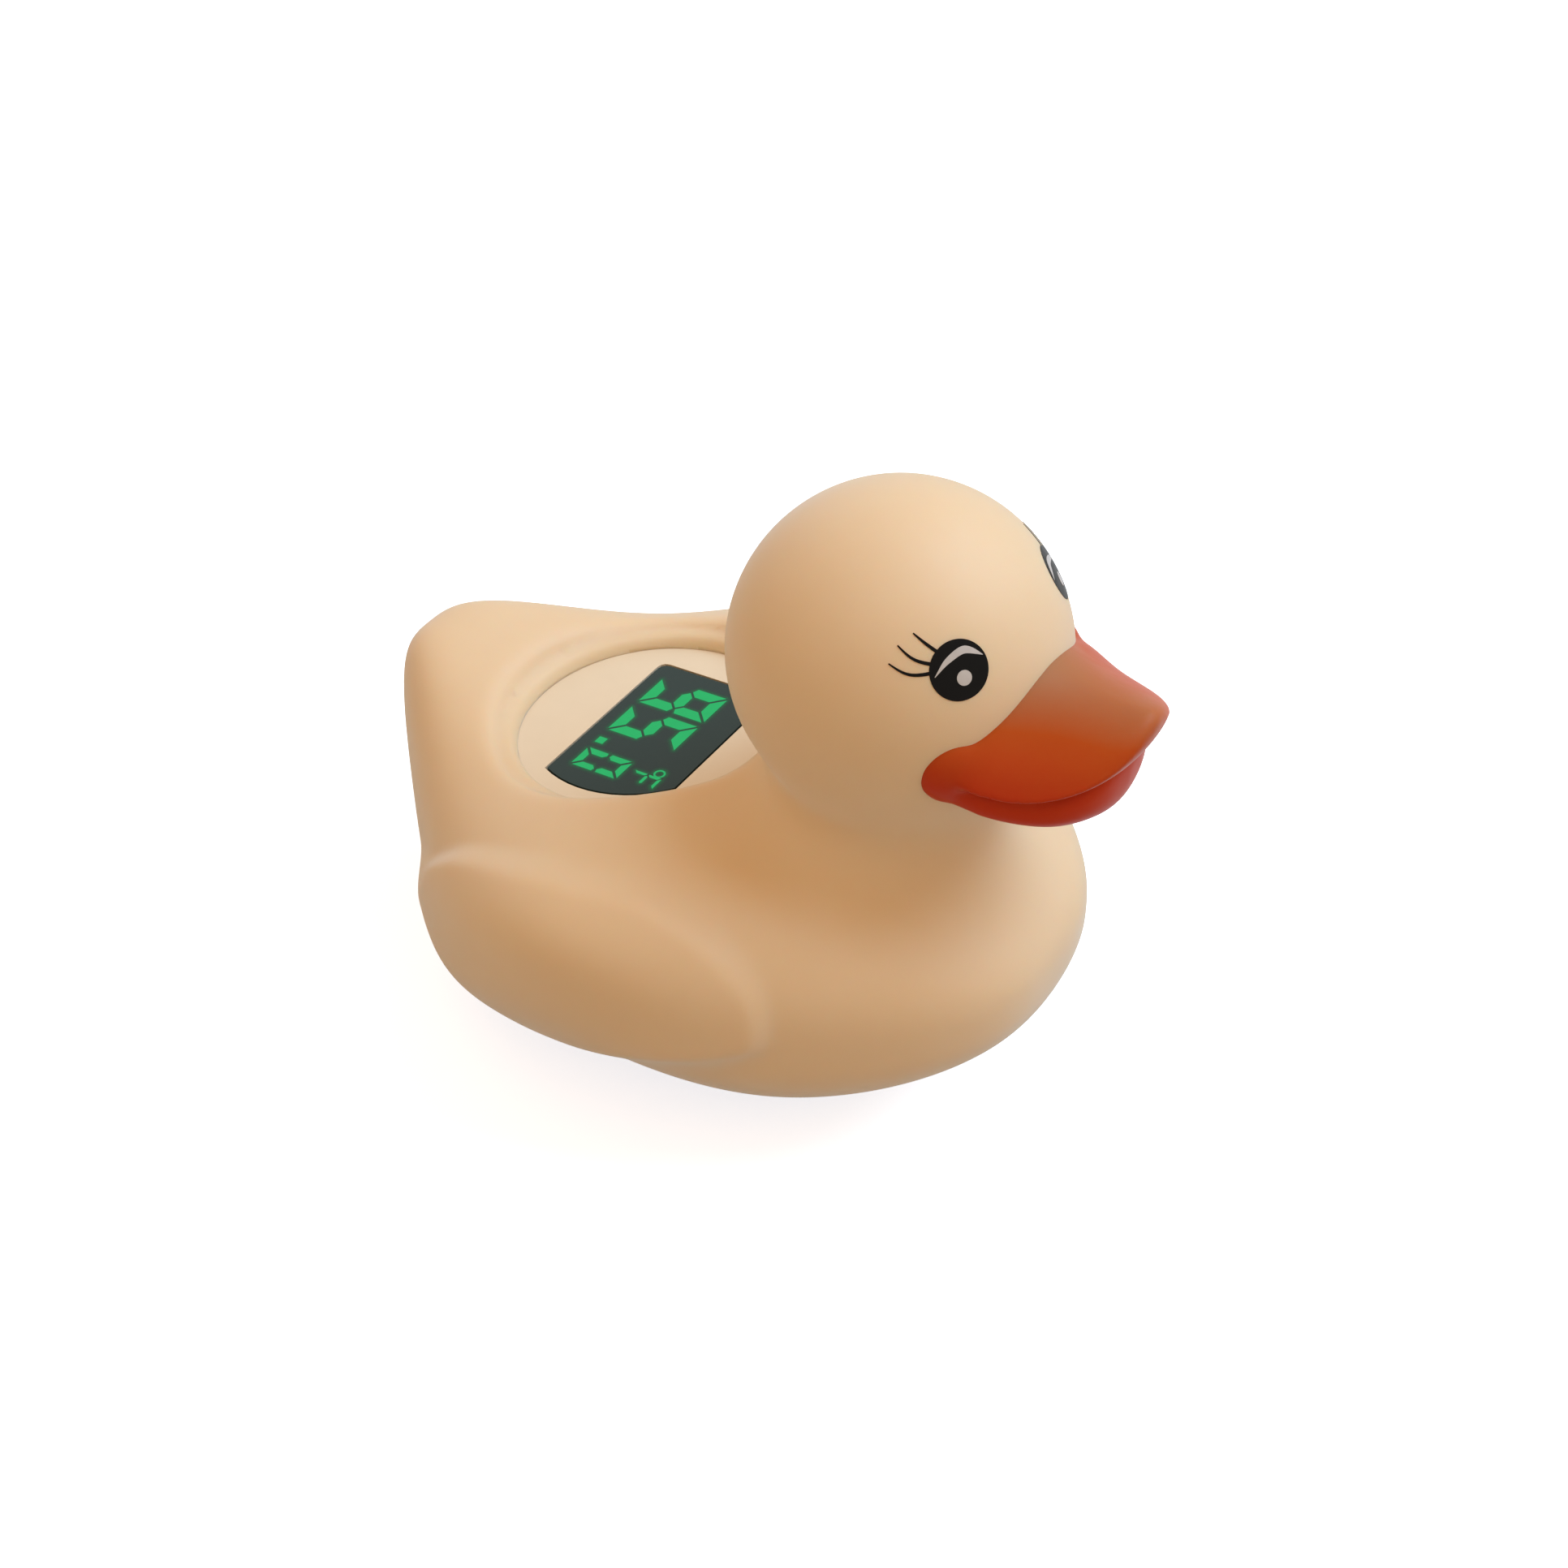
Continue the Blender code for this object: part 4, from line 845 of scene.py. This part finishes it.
def beak_finish():
    finish = Finish(
        "beak_paint",
        Specular_IOR_Level=0.07,
        Subsurface_Weight=0.3,
        Subsurface_Radius=(1.0, 0.3, 0.1),
        Subsurface_Scale=0.003,
    )
    height = finish.node("ShaderNodeSeparateXYZ", None, {0: finish.place()}, 2)
    # Redder and darker below the lip line, orange above it.
    above_lip = ((height - ORANGE_FROM * MM) / (ORANGE_SPAN * MM)).clamp()
    streak = finish.noise(260.0, 3.0) * 0.35 - 0.17
    coat = finish.mix((above_lip + streak).clamp(), rgba(PAINT_RED), rgba(PAINT_ORANGE))
    # Painted reflection: from this height up the colour turns a paler brown, standing in for the sky's
    # reflection on the glossy top.
    bridge_reflection = ((height - BRIDGE_FROM * MM) / (BRIDGE_SPAN * MM)).clamp()
    finish.feed("Base Color", finish.mix(bridge_reflection, coat, rgba(BRIDGE_REFLECTION)))
    finish.feed("Roughness", finish.noise(500.0, 3.0) * 0.10 + 0.29)
    finish.bump(finish.noise(900.0, 3.0, 0.55), 0.12, 0.00008)
    return finish.material


beak.data.materials.clear()
beak.data.materials.append(beak_finish())
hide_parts("duck_shell")
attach(beak, "root")
print("painted:", beak.name)

# %% [markdown]
# The eyes are pad printed: flat ink on a round head. Each mark is drawn flat, in millimetres
# across and up, and then wrapped onto the ball so that lengths from the eye's middle stay
# true. The ink lies a twentieth of a millimetre proud and its underside is inside the skin.

# %% Wrapping prints onto the head
EYE_AZIMUTH = math.radians(-38.0)
EYE_RISE = math.radians(29.9)
EYE_TILT = math.radians(-12.0)
EYE_SIZE = (3.4, 3.4)
INK_TOP = 0.05
MARK_TOP = 0.08
INK_LOW = -0.15
SPOT_RINGS = (1.0, 0.1, 8)
SPOT_SIDES = 96
RIBBON_STEP = 0.01
RIBBON_LEAST = 0.02
EYE_WORDS = ((1.0, "right"), (-1.0, "left"))


def wrap(bm, side, top):
    """Turns a flat drawing into a thin closed film on the head."""
    azimuth = EYE_AZIMUTH * side
    flat = math.cos(EYE_RISE)
    out = Vector((flat * math.cos(azimuth), flat * math.sin(azimuth), math.sin(EYE_RISE)))
    across = Vector((0.0, 0.0, 1.0)).cross(out).normalized() * -side
    up = (Vector((0.0, 0.0, 1.0)) - out * out.z).normalized()
    grown = bmesh.ops.extrude_face_region(bm, geom=bm.faces[:], use_keep_orig=True)
    raised = {v for v in grown["geom"] if isinstance(v, bmesh.types.BMVert)}
    for vert in bm.verts:
        reach = math.hypot(vert.co.x, vert.co.y) / HEAD_RADIUS
        way = (across * vert.co.x + up * vert.co.y).normalized() if reach > 1e-9 else up
        height = top if vert in raised else INK_LOW
        ball = out * math.cos(reach) + way * math.sin(reach)
        vert.co = Vector(HEAD) + ball * (HEAD_RADIUS + height)
    bmesh.ops.recalc_face_normals(bm, faces=bm.faces)


def spot(bm, size, tilt=0.0, centre=(0.0, 0.0)):
    """A flat ellipse of nested rings with a small plug in the middle."""
    verts, loops = [], []
    for radius in np.linspace(*SPOT_RINGS):
        ring = bmesh.ops.create_circle(bm, segments=SPOT_SIDES, radius=radius)["verts"]
        loops.append(list({e for v in ring for e in v.link_edges}))
        verts += ring
    bmesh.ops.scale(bm, vec=(*size, 1.0), verts=verts)
    bmesh.ops.rotate(bm, cent=(0, 0, 0), matrix=Matrix.Rotation(tilt, 3, "Z"), verts=verts)
    bmesh.ops.translate(bm, vec=(*centre, 0.0), verts=verts)
    for first, second in zip(loops[:-1], loops[1:]):
        bmesh.ops.bridge_loops(bm, edges=first + second)
    bmesh.ops.edgeloop_fill(bm, edges=loops[-1])


def ribbon(bm, path, widths, steps=40):
    """A flat strip along a curve, as wide as asked at each place."""
    xs, ys = (curve_through([point[k] for point in path]) for k in (0, 1))
    wide = curve_through(widths)
    made = bmesh.ops.create_grid(bm, x_segments=steps, y_segments=4, size=1.0)["verts"]
    for vert in made:
        t, v = 0.5 * (vert.co.x + 1.0), vert.co.y
        places = (t, t + RIBBON_STEP, t - RIBBON_STEP)
        here, ahead, behind = (np.array((xs(np.array(q)), ys(np.array(q)))) for q in places)
        along = ahead - behind
        along = along / np.linalg.norm(along)
        half = 0.5 * max(float(wide(np.array(t))), RIBBON_LEAST)
        vert.co = (here[0] - along[1] * v * half, here[1] + along[0] * v * half, 0.0)


print("prints wrap on a ball of", HEAD_RADIUS, "mm")

# %% [markdown]
# An eye is a black oval with three lashes behind it, a white crescent high on it and a round
# white dot below. The lashes start inside the oval and taper to their tips.

# %% Eyes
LASHES = (
    ((1.75, 2.05), (3.2, 3.55), (4.3, 4.9)),
    ((2.6, 1.12), (4.75, 2.1), (6.2, 3.9)),
    ((2.8, 0.3), (5.5, 0.55), (7.5, 2.1)),
)
LASH_WIDTHS = (0.42, 0.34, 0.16)
CRESCENT = (
    (2.85, -0.25), (1.9, 0.7), (1.03, 1.37), (-0.24, 2.0), (-1.17, 2.05), (-2.07, 1.65), (-2.9, 1.15),
)
CRESCENT_WIDTHS = (0.06, 0.42, 0.68, 0.82, 0.8, 0.5, 0.06)
DOT = (-0.4, -0.9)
DOT_RADIUS = 0.86


def print_finish(name, colour, roughness):
    finish = Finish(name, Specular_IOR_Level=0.08)
    patch = (finish.noise(700.0, 3.0) * 1.4 - 0.2).clamp()
    finish.feed("Base Color", finish.mix(patch, rgba(colour), rgba(colour, 0.8)))
    finish.feed("Roughness", finish.noise(900.0, 2.0) * 0.15 + roughness)
    finish.bump(finish.noise(2500.0, 3.0), 0.10, 0.00004)
    return finish.material


ink = print_finish("eye_ink", (0.007, 0.006, 0.005), 0.30)
white = print_finish("eye_white", (0.62, 0.58, 0.57), 0.40)
for side, word in EYE_WORDS:
    bm = bmesh.new()
    spot(bm, EYE_SIZE, EYE_TILT)
    for lash in LASHES:
        ribbon(bm, lash, LASH_WIDTHS)
    wrap(bm, side, INK_TOP)
    eye = new_piece("eye_ink_" + word, bm, ink, smooth=False)
    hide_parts("eye_print_" + word)
    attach(eye, "root")
    bm = bmesh.new()
    ribbon(bm, CRESCENT, CRESCENT_WIDTHS, 64)
    spot(bm, (DOT_RADIUS, DOT_RADIUS), 0.0, DOT)
    wrap(bm, side, MARK_TOP)
    marks = new_piece("eye_marks_" + word, bm, white, smooth=False)
    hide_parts("eye_glint_" + word, "eye_dot_" + word)
    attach(marks, "root")
print("eyes printed:", len(EYE_WORDS))

# %% [markdown]
# The reading is 95.0 °F. Every lit bar is a flat polygon with mitred corners, so that two bars
# meet along a thin dark line as on a real seven-segment display. Outer bars are mitred at the
# corners and pointed toward the middle; the middle bar is pointed at both ends.

# %% Seven segments
PARTING = 0.2
MITRE_GAP = 0.28
TAPER = 0.35
LIT = {"9": "abcdfg", "5": "acdfg", "0": "abcdef", "F": "aefg"}
# Each figure: base, left edge, height, width and bar, in the face's frame.
FIGURES = {
    "9": (-5.35, 9.4, 10.4, 5.7, 1.6),
    "5": (-5.35, 2.7, 10.4, 5.7, 1.6),
    "0": (-5.2, -7.2, 7.1, 3.8, 0.98),
    "F": (3.0, -8.3, 4.2, 2.3, 0.42),
}
POINT = (-5.2, -4.7, 1.2)
DEGREE = (6.3, -7.6)
DEGREE_RADII = (0.78, 0.53)


def bar_outline(name, height, wide, bar):
    """Outline of one bar in a figure that is drawn from its lower left corner."""
    g, mid = MITRE_GAP * min(1.0, bar), 0.5 * height
    half, point = 0.5 * bar, PARTING
    flat = [(g, height), (wide - g, height), (wide - bar - g, height - bar), (bar + g, height - bar)]
    side = [(0.0, height - g), (0.0, mid + TAPER * bar), (half, mid + point), (bar, mid + half + point),
            (bar, height - bar - g)]
    outlines = {
        "a": flat,
        "d": [(x, height - y) for x, y in flat],
        "f": side,
        "b": [(wide - x, y) for x, y in side],
        "e": [(x, height - y) for x, y in side],
        "c": [(wide - x, height - y) for x, y in side],
        "g": [(half + g, mid), (bar + g, mid + half), (wide - bar - g, mid + half), (wide - half - g, mid),
              (wide - bar - g, mid - half), (bar + g, mid - half)],
    }
    return outlines[name]


def reading():
    """Outlines of all lit bars, with +x toward the head and +y to the left."""
    found = []
    for figure, (base, left, height, wide, bar) in FIGURES.items():
        for name in LIT[figure]:
            found.append([(base + y, left - x) for x, y in bar_outline(name, height, wide, bar)])
    x, y, side = POINT
    found.append([(x, y), (x + side, y), (x + side, y - side), (x, y - side)])
    return found


print("lit bars:", len(reading()))

# %% [markdown]
# The bars are extruded to a very thin film on the window. The degree sign is a small ring.

# %% Lit bars
DIGIT_TOP = 0.025
DEGREE_SIDES = 48

outlines = reading()
bars = bmesh.new()
for outline in outlines:
    bars.faces.new([bars.verts.new((x, y, 0.0)) for x, y in outline])
ring = bmesh.ops.create_circle(bars, segments=DEGREE_SIDES, radius=DEGREE_RADII[0])["verts"]
inner = bmesh.ops.create_circle(bars, segments=DEGREE_SIDES, radius=DEGREE_RADII[1])["verts"]
bmesh.ops.bridge_loops(bars, edges=list({e for v in ring + inner for e in v.link_edges}))
bmesh.ops.translate(bars, vec=(*DEGREE, 0.0), verts=ring + inner)
bars.normal_update()
grown = bmesh.ops.extrude_face_region(bars, geom=bars.faces[:], use_keep_orig=True)
raised = [v for v in grown["geom"] if isinstance(v, bmesh.types.BMVert)]
bmesh.ops.translate(bars, vec=(0.0, 0.0, DIGIT_TOP), verts=raised)
bmesh.ops.recalc_face_normals(bars, faces=bars.faces)
bmesh.ops.transform(bars, matrix=FACE, verts=bars.verts)
print("bars and ring:", len(bars.faces), "faces")

# %% [markdown]
# Light spreads a little in the smoked window, so every bar has a faint halo. It is one fine
# sheet just above the window. A point attribute holds the glow, which falls with the distance
# from the nearest bar. It is taken back where a second bar is as near, so that the parting
# lines stay dark.

# %% Halo
HALO_TOP = 0.010
HALO_WIDTH = 0.9
HALO_SPAN = ((-6.6, 8.2), (-11.7, 10.6))
HALO_STEPS = (98, 148)
HALO_FALL = 1.5
HALO_LEAST = 0.004
PARTING_DARK = (0.12, 0.37)

halo = bmesh.new()
bmesh.ops.create_grid(halo, x_segments=HALO_STEPS[0], y_segments=HALO_STEPS[1], size=1.0)
sheet = np.array([v.co[:2] for v in halo.verts])
low, high = np.array(HALO_SPAN).T
sheet = low + 0.5 * (sheet + 1.0) * (high - low)
distances = [outline_distance(sheet[:, 0], sheet[:, 1], outline) for outline in outlines]
middle, half = 0.5 * sum(DEGREE_RADII), 0.5 * (DEGREE_RADII[0] - DEGREE_RADII[1])
distances.append(np.abs(np.hypot(*(sheet - DEGREE).T) - middle) - half)
nearest, second = np.sort(distances, axis=0)[:2]
amount = ease(1.0 - nearest / HALO_WIDTH) ** HALO_FALL * ramp(second, PARTING_DARK)
glow = halo.verts.layers.float.new("glow")
for vert, place, value in zip(halo.verts, sheet, amount):
    vert.co = (*place, HALO_TOP)
    vert[glow] = value
unlit = [f for f in halo.faces if max(v[glow] for v in f.verts) < HALO_LEAST]
bmesh.ops.delete(halo, geom=unlit, context="FACES")
bmesh.ops.transform(halo, matrix=FACE, verts=halo.verts)
print("halo faces:", len(halo.faces))

# %% [markdown]
# The digits give light of their own. The halo is mostly transparent and shows the window
# through it.

# %% Light of the display
GREEN = (0.026, 0.456, 0.141)
HALO_STRENGTH = 0.17


def lit_finish():
    finish = Finish("digit_light", Roughness=0.5, Specular_IOR_Level=0.05, Emission_Strength=0.95)
    glimmer = (finish.noise(700.0, 2.0) * 1.2 - 0.1).clamp()
    finish.feed("Base Color", finish.mix(glimmer, rgba(GREEN, 0.10), rgba(GREEN, 0.08)))
    finish.feed("Emission Color", finish.mix(glimmer, rgba(GREEN), rgba(GREEN, 0.93)))
    return finish.material


def halo_finish():
    finish = Finish("digit_halo", Roughness=0.5, Emission_Strength=1.0, Specular_IOR_Level=0.0)
    fall = finish.node("ShaderNodeAttribute", {"attribute_name": "glow"}, None, "Fac")
    finish.feed("Base Color", finish.mix(fall, rgba((0.0, 0.0, 0.0)), rgba(GREEN, 0.1)))
    finish.feed("Emission Color", finish.mix(fall, rgba(GREEN, 0.5), rgba(GREEN)))
    finish.feed("Alpha", fall * HALO_STRENGTH)
    return finish.material


digits = new_piece("lit_digits", bars, lit_finish(), smooth=False)
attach(digits, "root")
haze = new_piece("digit_halo", halo, halo_finish(), smooth=False)
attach(haze, "root")
print("display lit:", digits.name, haze.name)

# %% [markdown]
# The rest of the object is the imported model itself. Moulded plastic, rubber and lacquer share
# one recipe with a slow drift of tone and a fine grain. Laminate, turned metal and the smoked
# window each have a pattern of their own.

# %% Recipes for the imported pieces
def plain_finish(name, colour, roughness, metallic=0.0, grain=600.0, spread=0.12, relief=0.00004):
    finish = Finish(name, Metallic=metallic)
    drift = (finish.noise(grain * 0.25, 3.0) * 1.5 - 0.25).clamp()
    finish.feed("Base Color", finish.mix(drift, rgba(colour), rgba(colour, 1.0 - spread)))
    finish.feed("Roughness", finish.noise(grain, 3.0) * 0.14 + (roughness - 0.07))
    finish.bump(finish.noise(grain * 3.0, 3.0, 0.6), 0.12, relief)
    return finish.material


MASK_GREEN = (0.015, 0.13, 0.05)
TRACK_GREEN = (0.06, 0.24, 0.09)


def board_finish():
    """Green laminate with a copper tint along faint tracks."""
    finish = Finish("board_laminate", Specular_IOR_Level=0.5)
    cells = finish.node(
        "ShaderNodeTexVoronoi",
        {"feature": "DISTANCE_TO_EDGE", "distance": "CHEBYCHEV"},
        {"Vector": finish.place(), "Scale": 420.0, "Randomness": 0.35},
        "Distance",
    )
    track = (1.0 - cells * 14.0).clamp()
    finish.feed("Base Color", finish.mix(track, rgba(MASK_GREEN), rgba(TRACK_GREEN)))
    finish.feed("Roughness", finish.noise(900.0) * 0.15 + 0.38)
    finish.bump(track, 0.3, 0.00003)
    return finish.material


def brushed_finish(name, colour, roughness):
    """Turned metal: fine rings about the vertical axis."""
    finish = Finish(name, Metallic=1.0)
    rings = finish.node(
        "ShaderNodeTexWave",
        {"wave_type": "RINGS", "rings_direction": "Z"},
        {"Vector": finish.place(), "Scale": 900.0, "Distortion": 1.5, "Detail": 3.0},
        "Fac",
    )
    finish.feed("Base Color", finish.mix(rings, rgba(colour), rgba(colour, 0.82)))
    finish.feed("Roughness", rings * 0.12 + roughness)
    finish.bump(rings, 0.1, 0.00002)
    return finish.material


SMOKE = (0.021, 0.041, 0.037)


def window_finish():
    finish = Finish("window_plastic", Specular_IOR_Level=0.2)
    depth_tone = (finish.noise(60.0, 2.0) * 1.5 - 0.25).clamp()
    finish.feed("Base Color", finish.mix(depth_tone, rgba(SMOKE), rgba(SMOKE, 0.87)))
    finish.feed("Roughness", finish.noise(300.0, 3.0) * 0.10 + 0.25)
    finish.bump(finish.noise(1500.0, 2.0), 0.02, 0.00001)
    return finish.material


print("recipes ready")

# %% [markdown]
# The record says which slot each node wears, so one loop dresses them all. A narrow bevel is
# added where an edge would otherwise be a perfect line.

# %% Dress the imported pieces
FINISHES = {
    "housing_plastic": plain_finish("housing_plastic", (0.78, 0.56, 0.36), 0.42),
    "face_print": plain_finish("face_print", (0.84, 0.69, 0.51), 0.34, spread=0.06, relief=0.00001),
    "window_plastic": window_finish(),
    "digit_film": plain_finish("digit_film", (0.55, 0.62, 0.55), 0.5),
    "reflector_plastic": plain_finish("reflector_plastic", (0.02, 0.02, 0.022), 0.5),
    "board_laminate": board_finish(),
    "chip_resin": plain_finish("chip_resin", (0.018, 0.018, 0.02), 0.5, relief=0.00008),
    "steel": brushed_finish("steel", (0.62, 0.61, 0.59), 0.22),
    "cell_steel": brushed_finish("cell_steel", (0.68, 0.67, 0.65), 0.18),
    "contact_metal": brushed_finish("contact_metal", (0.72, 0.62, 0.40), 0.25),
    "seal_rubber": plain_finish("seal_rubber", (0.03, 0.03, 0.032), 0.75, relief=0.0001),
    "wire_red": plain_finish("wire_red", (0.45, 0.02, 0.015), 0.45),
    "wire_black": plain_finish("wire_black", (0.02, 0.02, 0.02), 0.45),
    "wire_white": plain_finish("wire_white", (0.70, 0.69, 0.66), 0.45),
    "duck_vinyl": skin_vinyl,
    "eye_ink": ink,
    "eye_white": white,
}
EDGE_BEVELS = {
    "face_disc": 0.18,
    "window_lens": 0.10,
    "base_housing": 0.25,
    "battery_door": 0.2,
    "upper_housing": 0.2,
}
SHARP_ANGLE = math.radians(40.0)
NODE_SLOTS = {part["node"]: part["material_slot"] for part in frame["record"]["subparts"]}
for name, node in NODES.items():
    node.data.materials.clear()
    node.data.materials.append(FINISHES[NODE_SLOTS[name]])
    if name in EDGE_BEVELS:
        soft = node.modifiers.new("edge", "BEVEL")
        soft.width = EDGE_BEVELS[name] * MM
        soft.segments = 3
        soft.limit_method = "ANGLE"
        soft.angle_limit = SHARP_ANGLE
print("finished nodes:", len(NODES))

# %% [markdown]
# The floor is a plain pale sheet. The camera should see it white while its shadow stays, so
# it gives a little light of its own to camera, glossy and transmission rays. Other rays meet a
# darker sheet, which keeps the underside of the duck from being lit too strongly from below.

# %% Floor
FLOOR_SIZE = 3000.0
FLOOR_LIFT = 0.75
FLOOR_WHITE = (0.97, 0.97, 0.97)
FLOOR_BOUNCE = (0.42, 0.38, 0.33)
FLOOR_GLOW = (0.78, 0.88, 1.0)
BLACK = (0.0, 0.0, 0.0)
WHITE_RAYS = ("Is Camera Ray", "Is Glossy Ray", "Is Transmission Ray")
floor_bm = bmesh.new()
bmesh.ops.create_grid(floor_bm, x_segments=1, y_segments=1, size=FLOOR_SIZE)
floor = new_piece("floor", floor_bm, smooth=False)
paper = Finish("floor_paper", Roughness=0.9, Specular_IOR_Level=0.1)
rays = paper.tree.nodes.new("ShaderNodeLightPath")
camera_ray, glossy_ray, through_ray = (Wire(paper, rays.outputs[key]) for key in WHITE_RAYS)
direct = (camera_ray + through_ray).clamp()
seen = (direct + glossy_ray).clamp()
grain = paper.noise(40.0, 2.0) * 0.01
paper.feed("Base Color", paper.mix(direct, rgba(FLOOR_BOUNCE), rgba(FLOOR_WHITE)))
paper.feed("Roughness", grain + 0.9)
paper.shader.inputs["Emission Strength"].default_value = FLOOR_LIFT
paper.feed("Emission Color", paper.mix(seen, rgba(BLACK), rgba(FLOOR_GLOW)))
floor.data.materials.append(paper.material)
print("floor:", 2 * FLOOR_SIZE * MM, "m across")

# %% [markdown]
# The light is what the photograph shows: one broad cool lamp, high on the side of the duck's
# left cheek, and a warm, even fill from all round. The same three kinds of ray that see the
# floor white see a plain white world.

# %% Light
KEY_WAY = Vector((0.5, 0.5, 0.95)).normalized()
KEY_AIM = Vector((0.0, 0.0, 0.04))
KEY_DISTANCE = 0.8
KEY_SIZE = 0.7
KEY_POWER = 5.9
KEY_COLOUR = (0.50, 0.75, 0.98)
FILL_COLOUR = (1.0, 0.72, 0.44)
FILL_STRENGTH = 0.72
WHITE = (1.0, 1.0, 1.0)

key_data = bpy.data.lights.new("key", "AREA")
key_data.shape = "DISK"
key_data.size = KEY_SIZE
key_data.energy = KEY_POWER
key_data.color = KEY_COLOUR
lamp = bpy.data.objects.new("key", key_data)
lamp.location = KEY_AIM + KEY_WAY * KEY_DISTANCE
lamp.rotation_mode = "QUATERNION"
lamp.rotation_quaternion = (-KEY_WAY).to_track_quat("-Z", "Y")
bpy.context.scene.collection.objects.link(lamp)
world = bpy.data.worlds.new("world")
bpy.context.scene.world = world
world.use_nodes = True
backdrop = world.node_tree
background = backdrop.nodes["Background"]
background.inputs["Color"].default_value = rgba(FILL_COLOUR)
background.inputs["Strength"].default_value = FILL_STRENGTH
clean = backdrop.nodes.new("ShaderNodeBackground")
clean.inputs["Color"].default_value = rgba(WHITE)
paths = backdrop.nodes.new("ShaderNodeLightPath")
pick = backdrop.nodes.new("ShaderNodeMixShader")
white_seen = paths.outputs[WHITE_RAYS[0]]
for key in WHITE_RAYS[1:]:
    either = backdrop.nodes.new("ShaderNodeMath")
    either.operation = "MAXIMUM"
    backdrop.links.new(white_seen, either.inputs[0])
    backdrop.links.new(paths.outputs[key], either.inputs[1])
    white_seen = either.outputs[0]
backdrop.links.new(white_seen, pick.inputs[0])
backdrop.links.new(background.outputs[0], pick.inputs[1])
backdrop.links.new(clean.outputs[0], pick.inputs[2])
backdrop.links.new(pick.outputs[0], backdrop.nodes["World Output"].inputs[0])
bpy.context.scene.view_settings.view_transform = "Standard"
print("key lamp:", KEY_POWER, "W at", KEY_DISTANCE, "m")
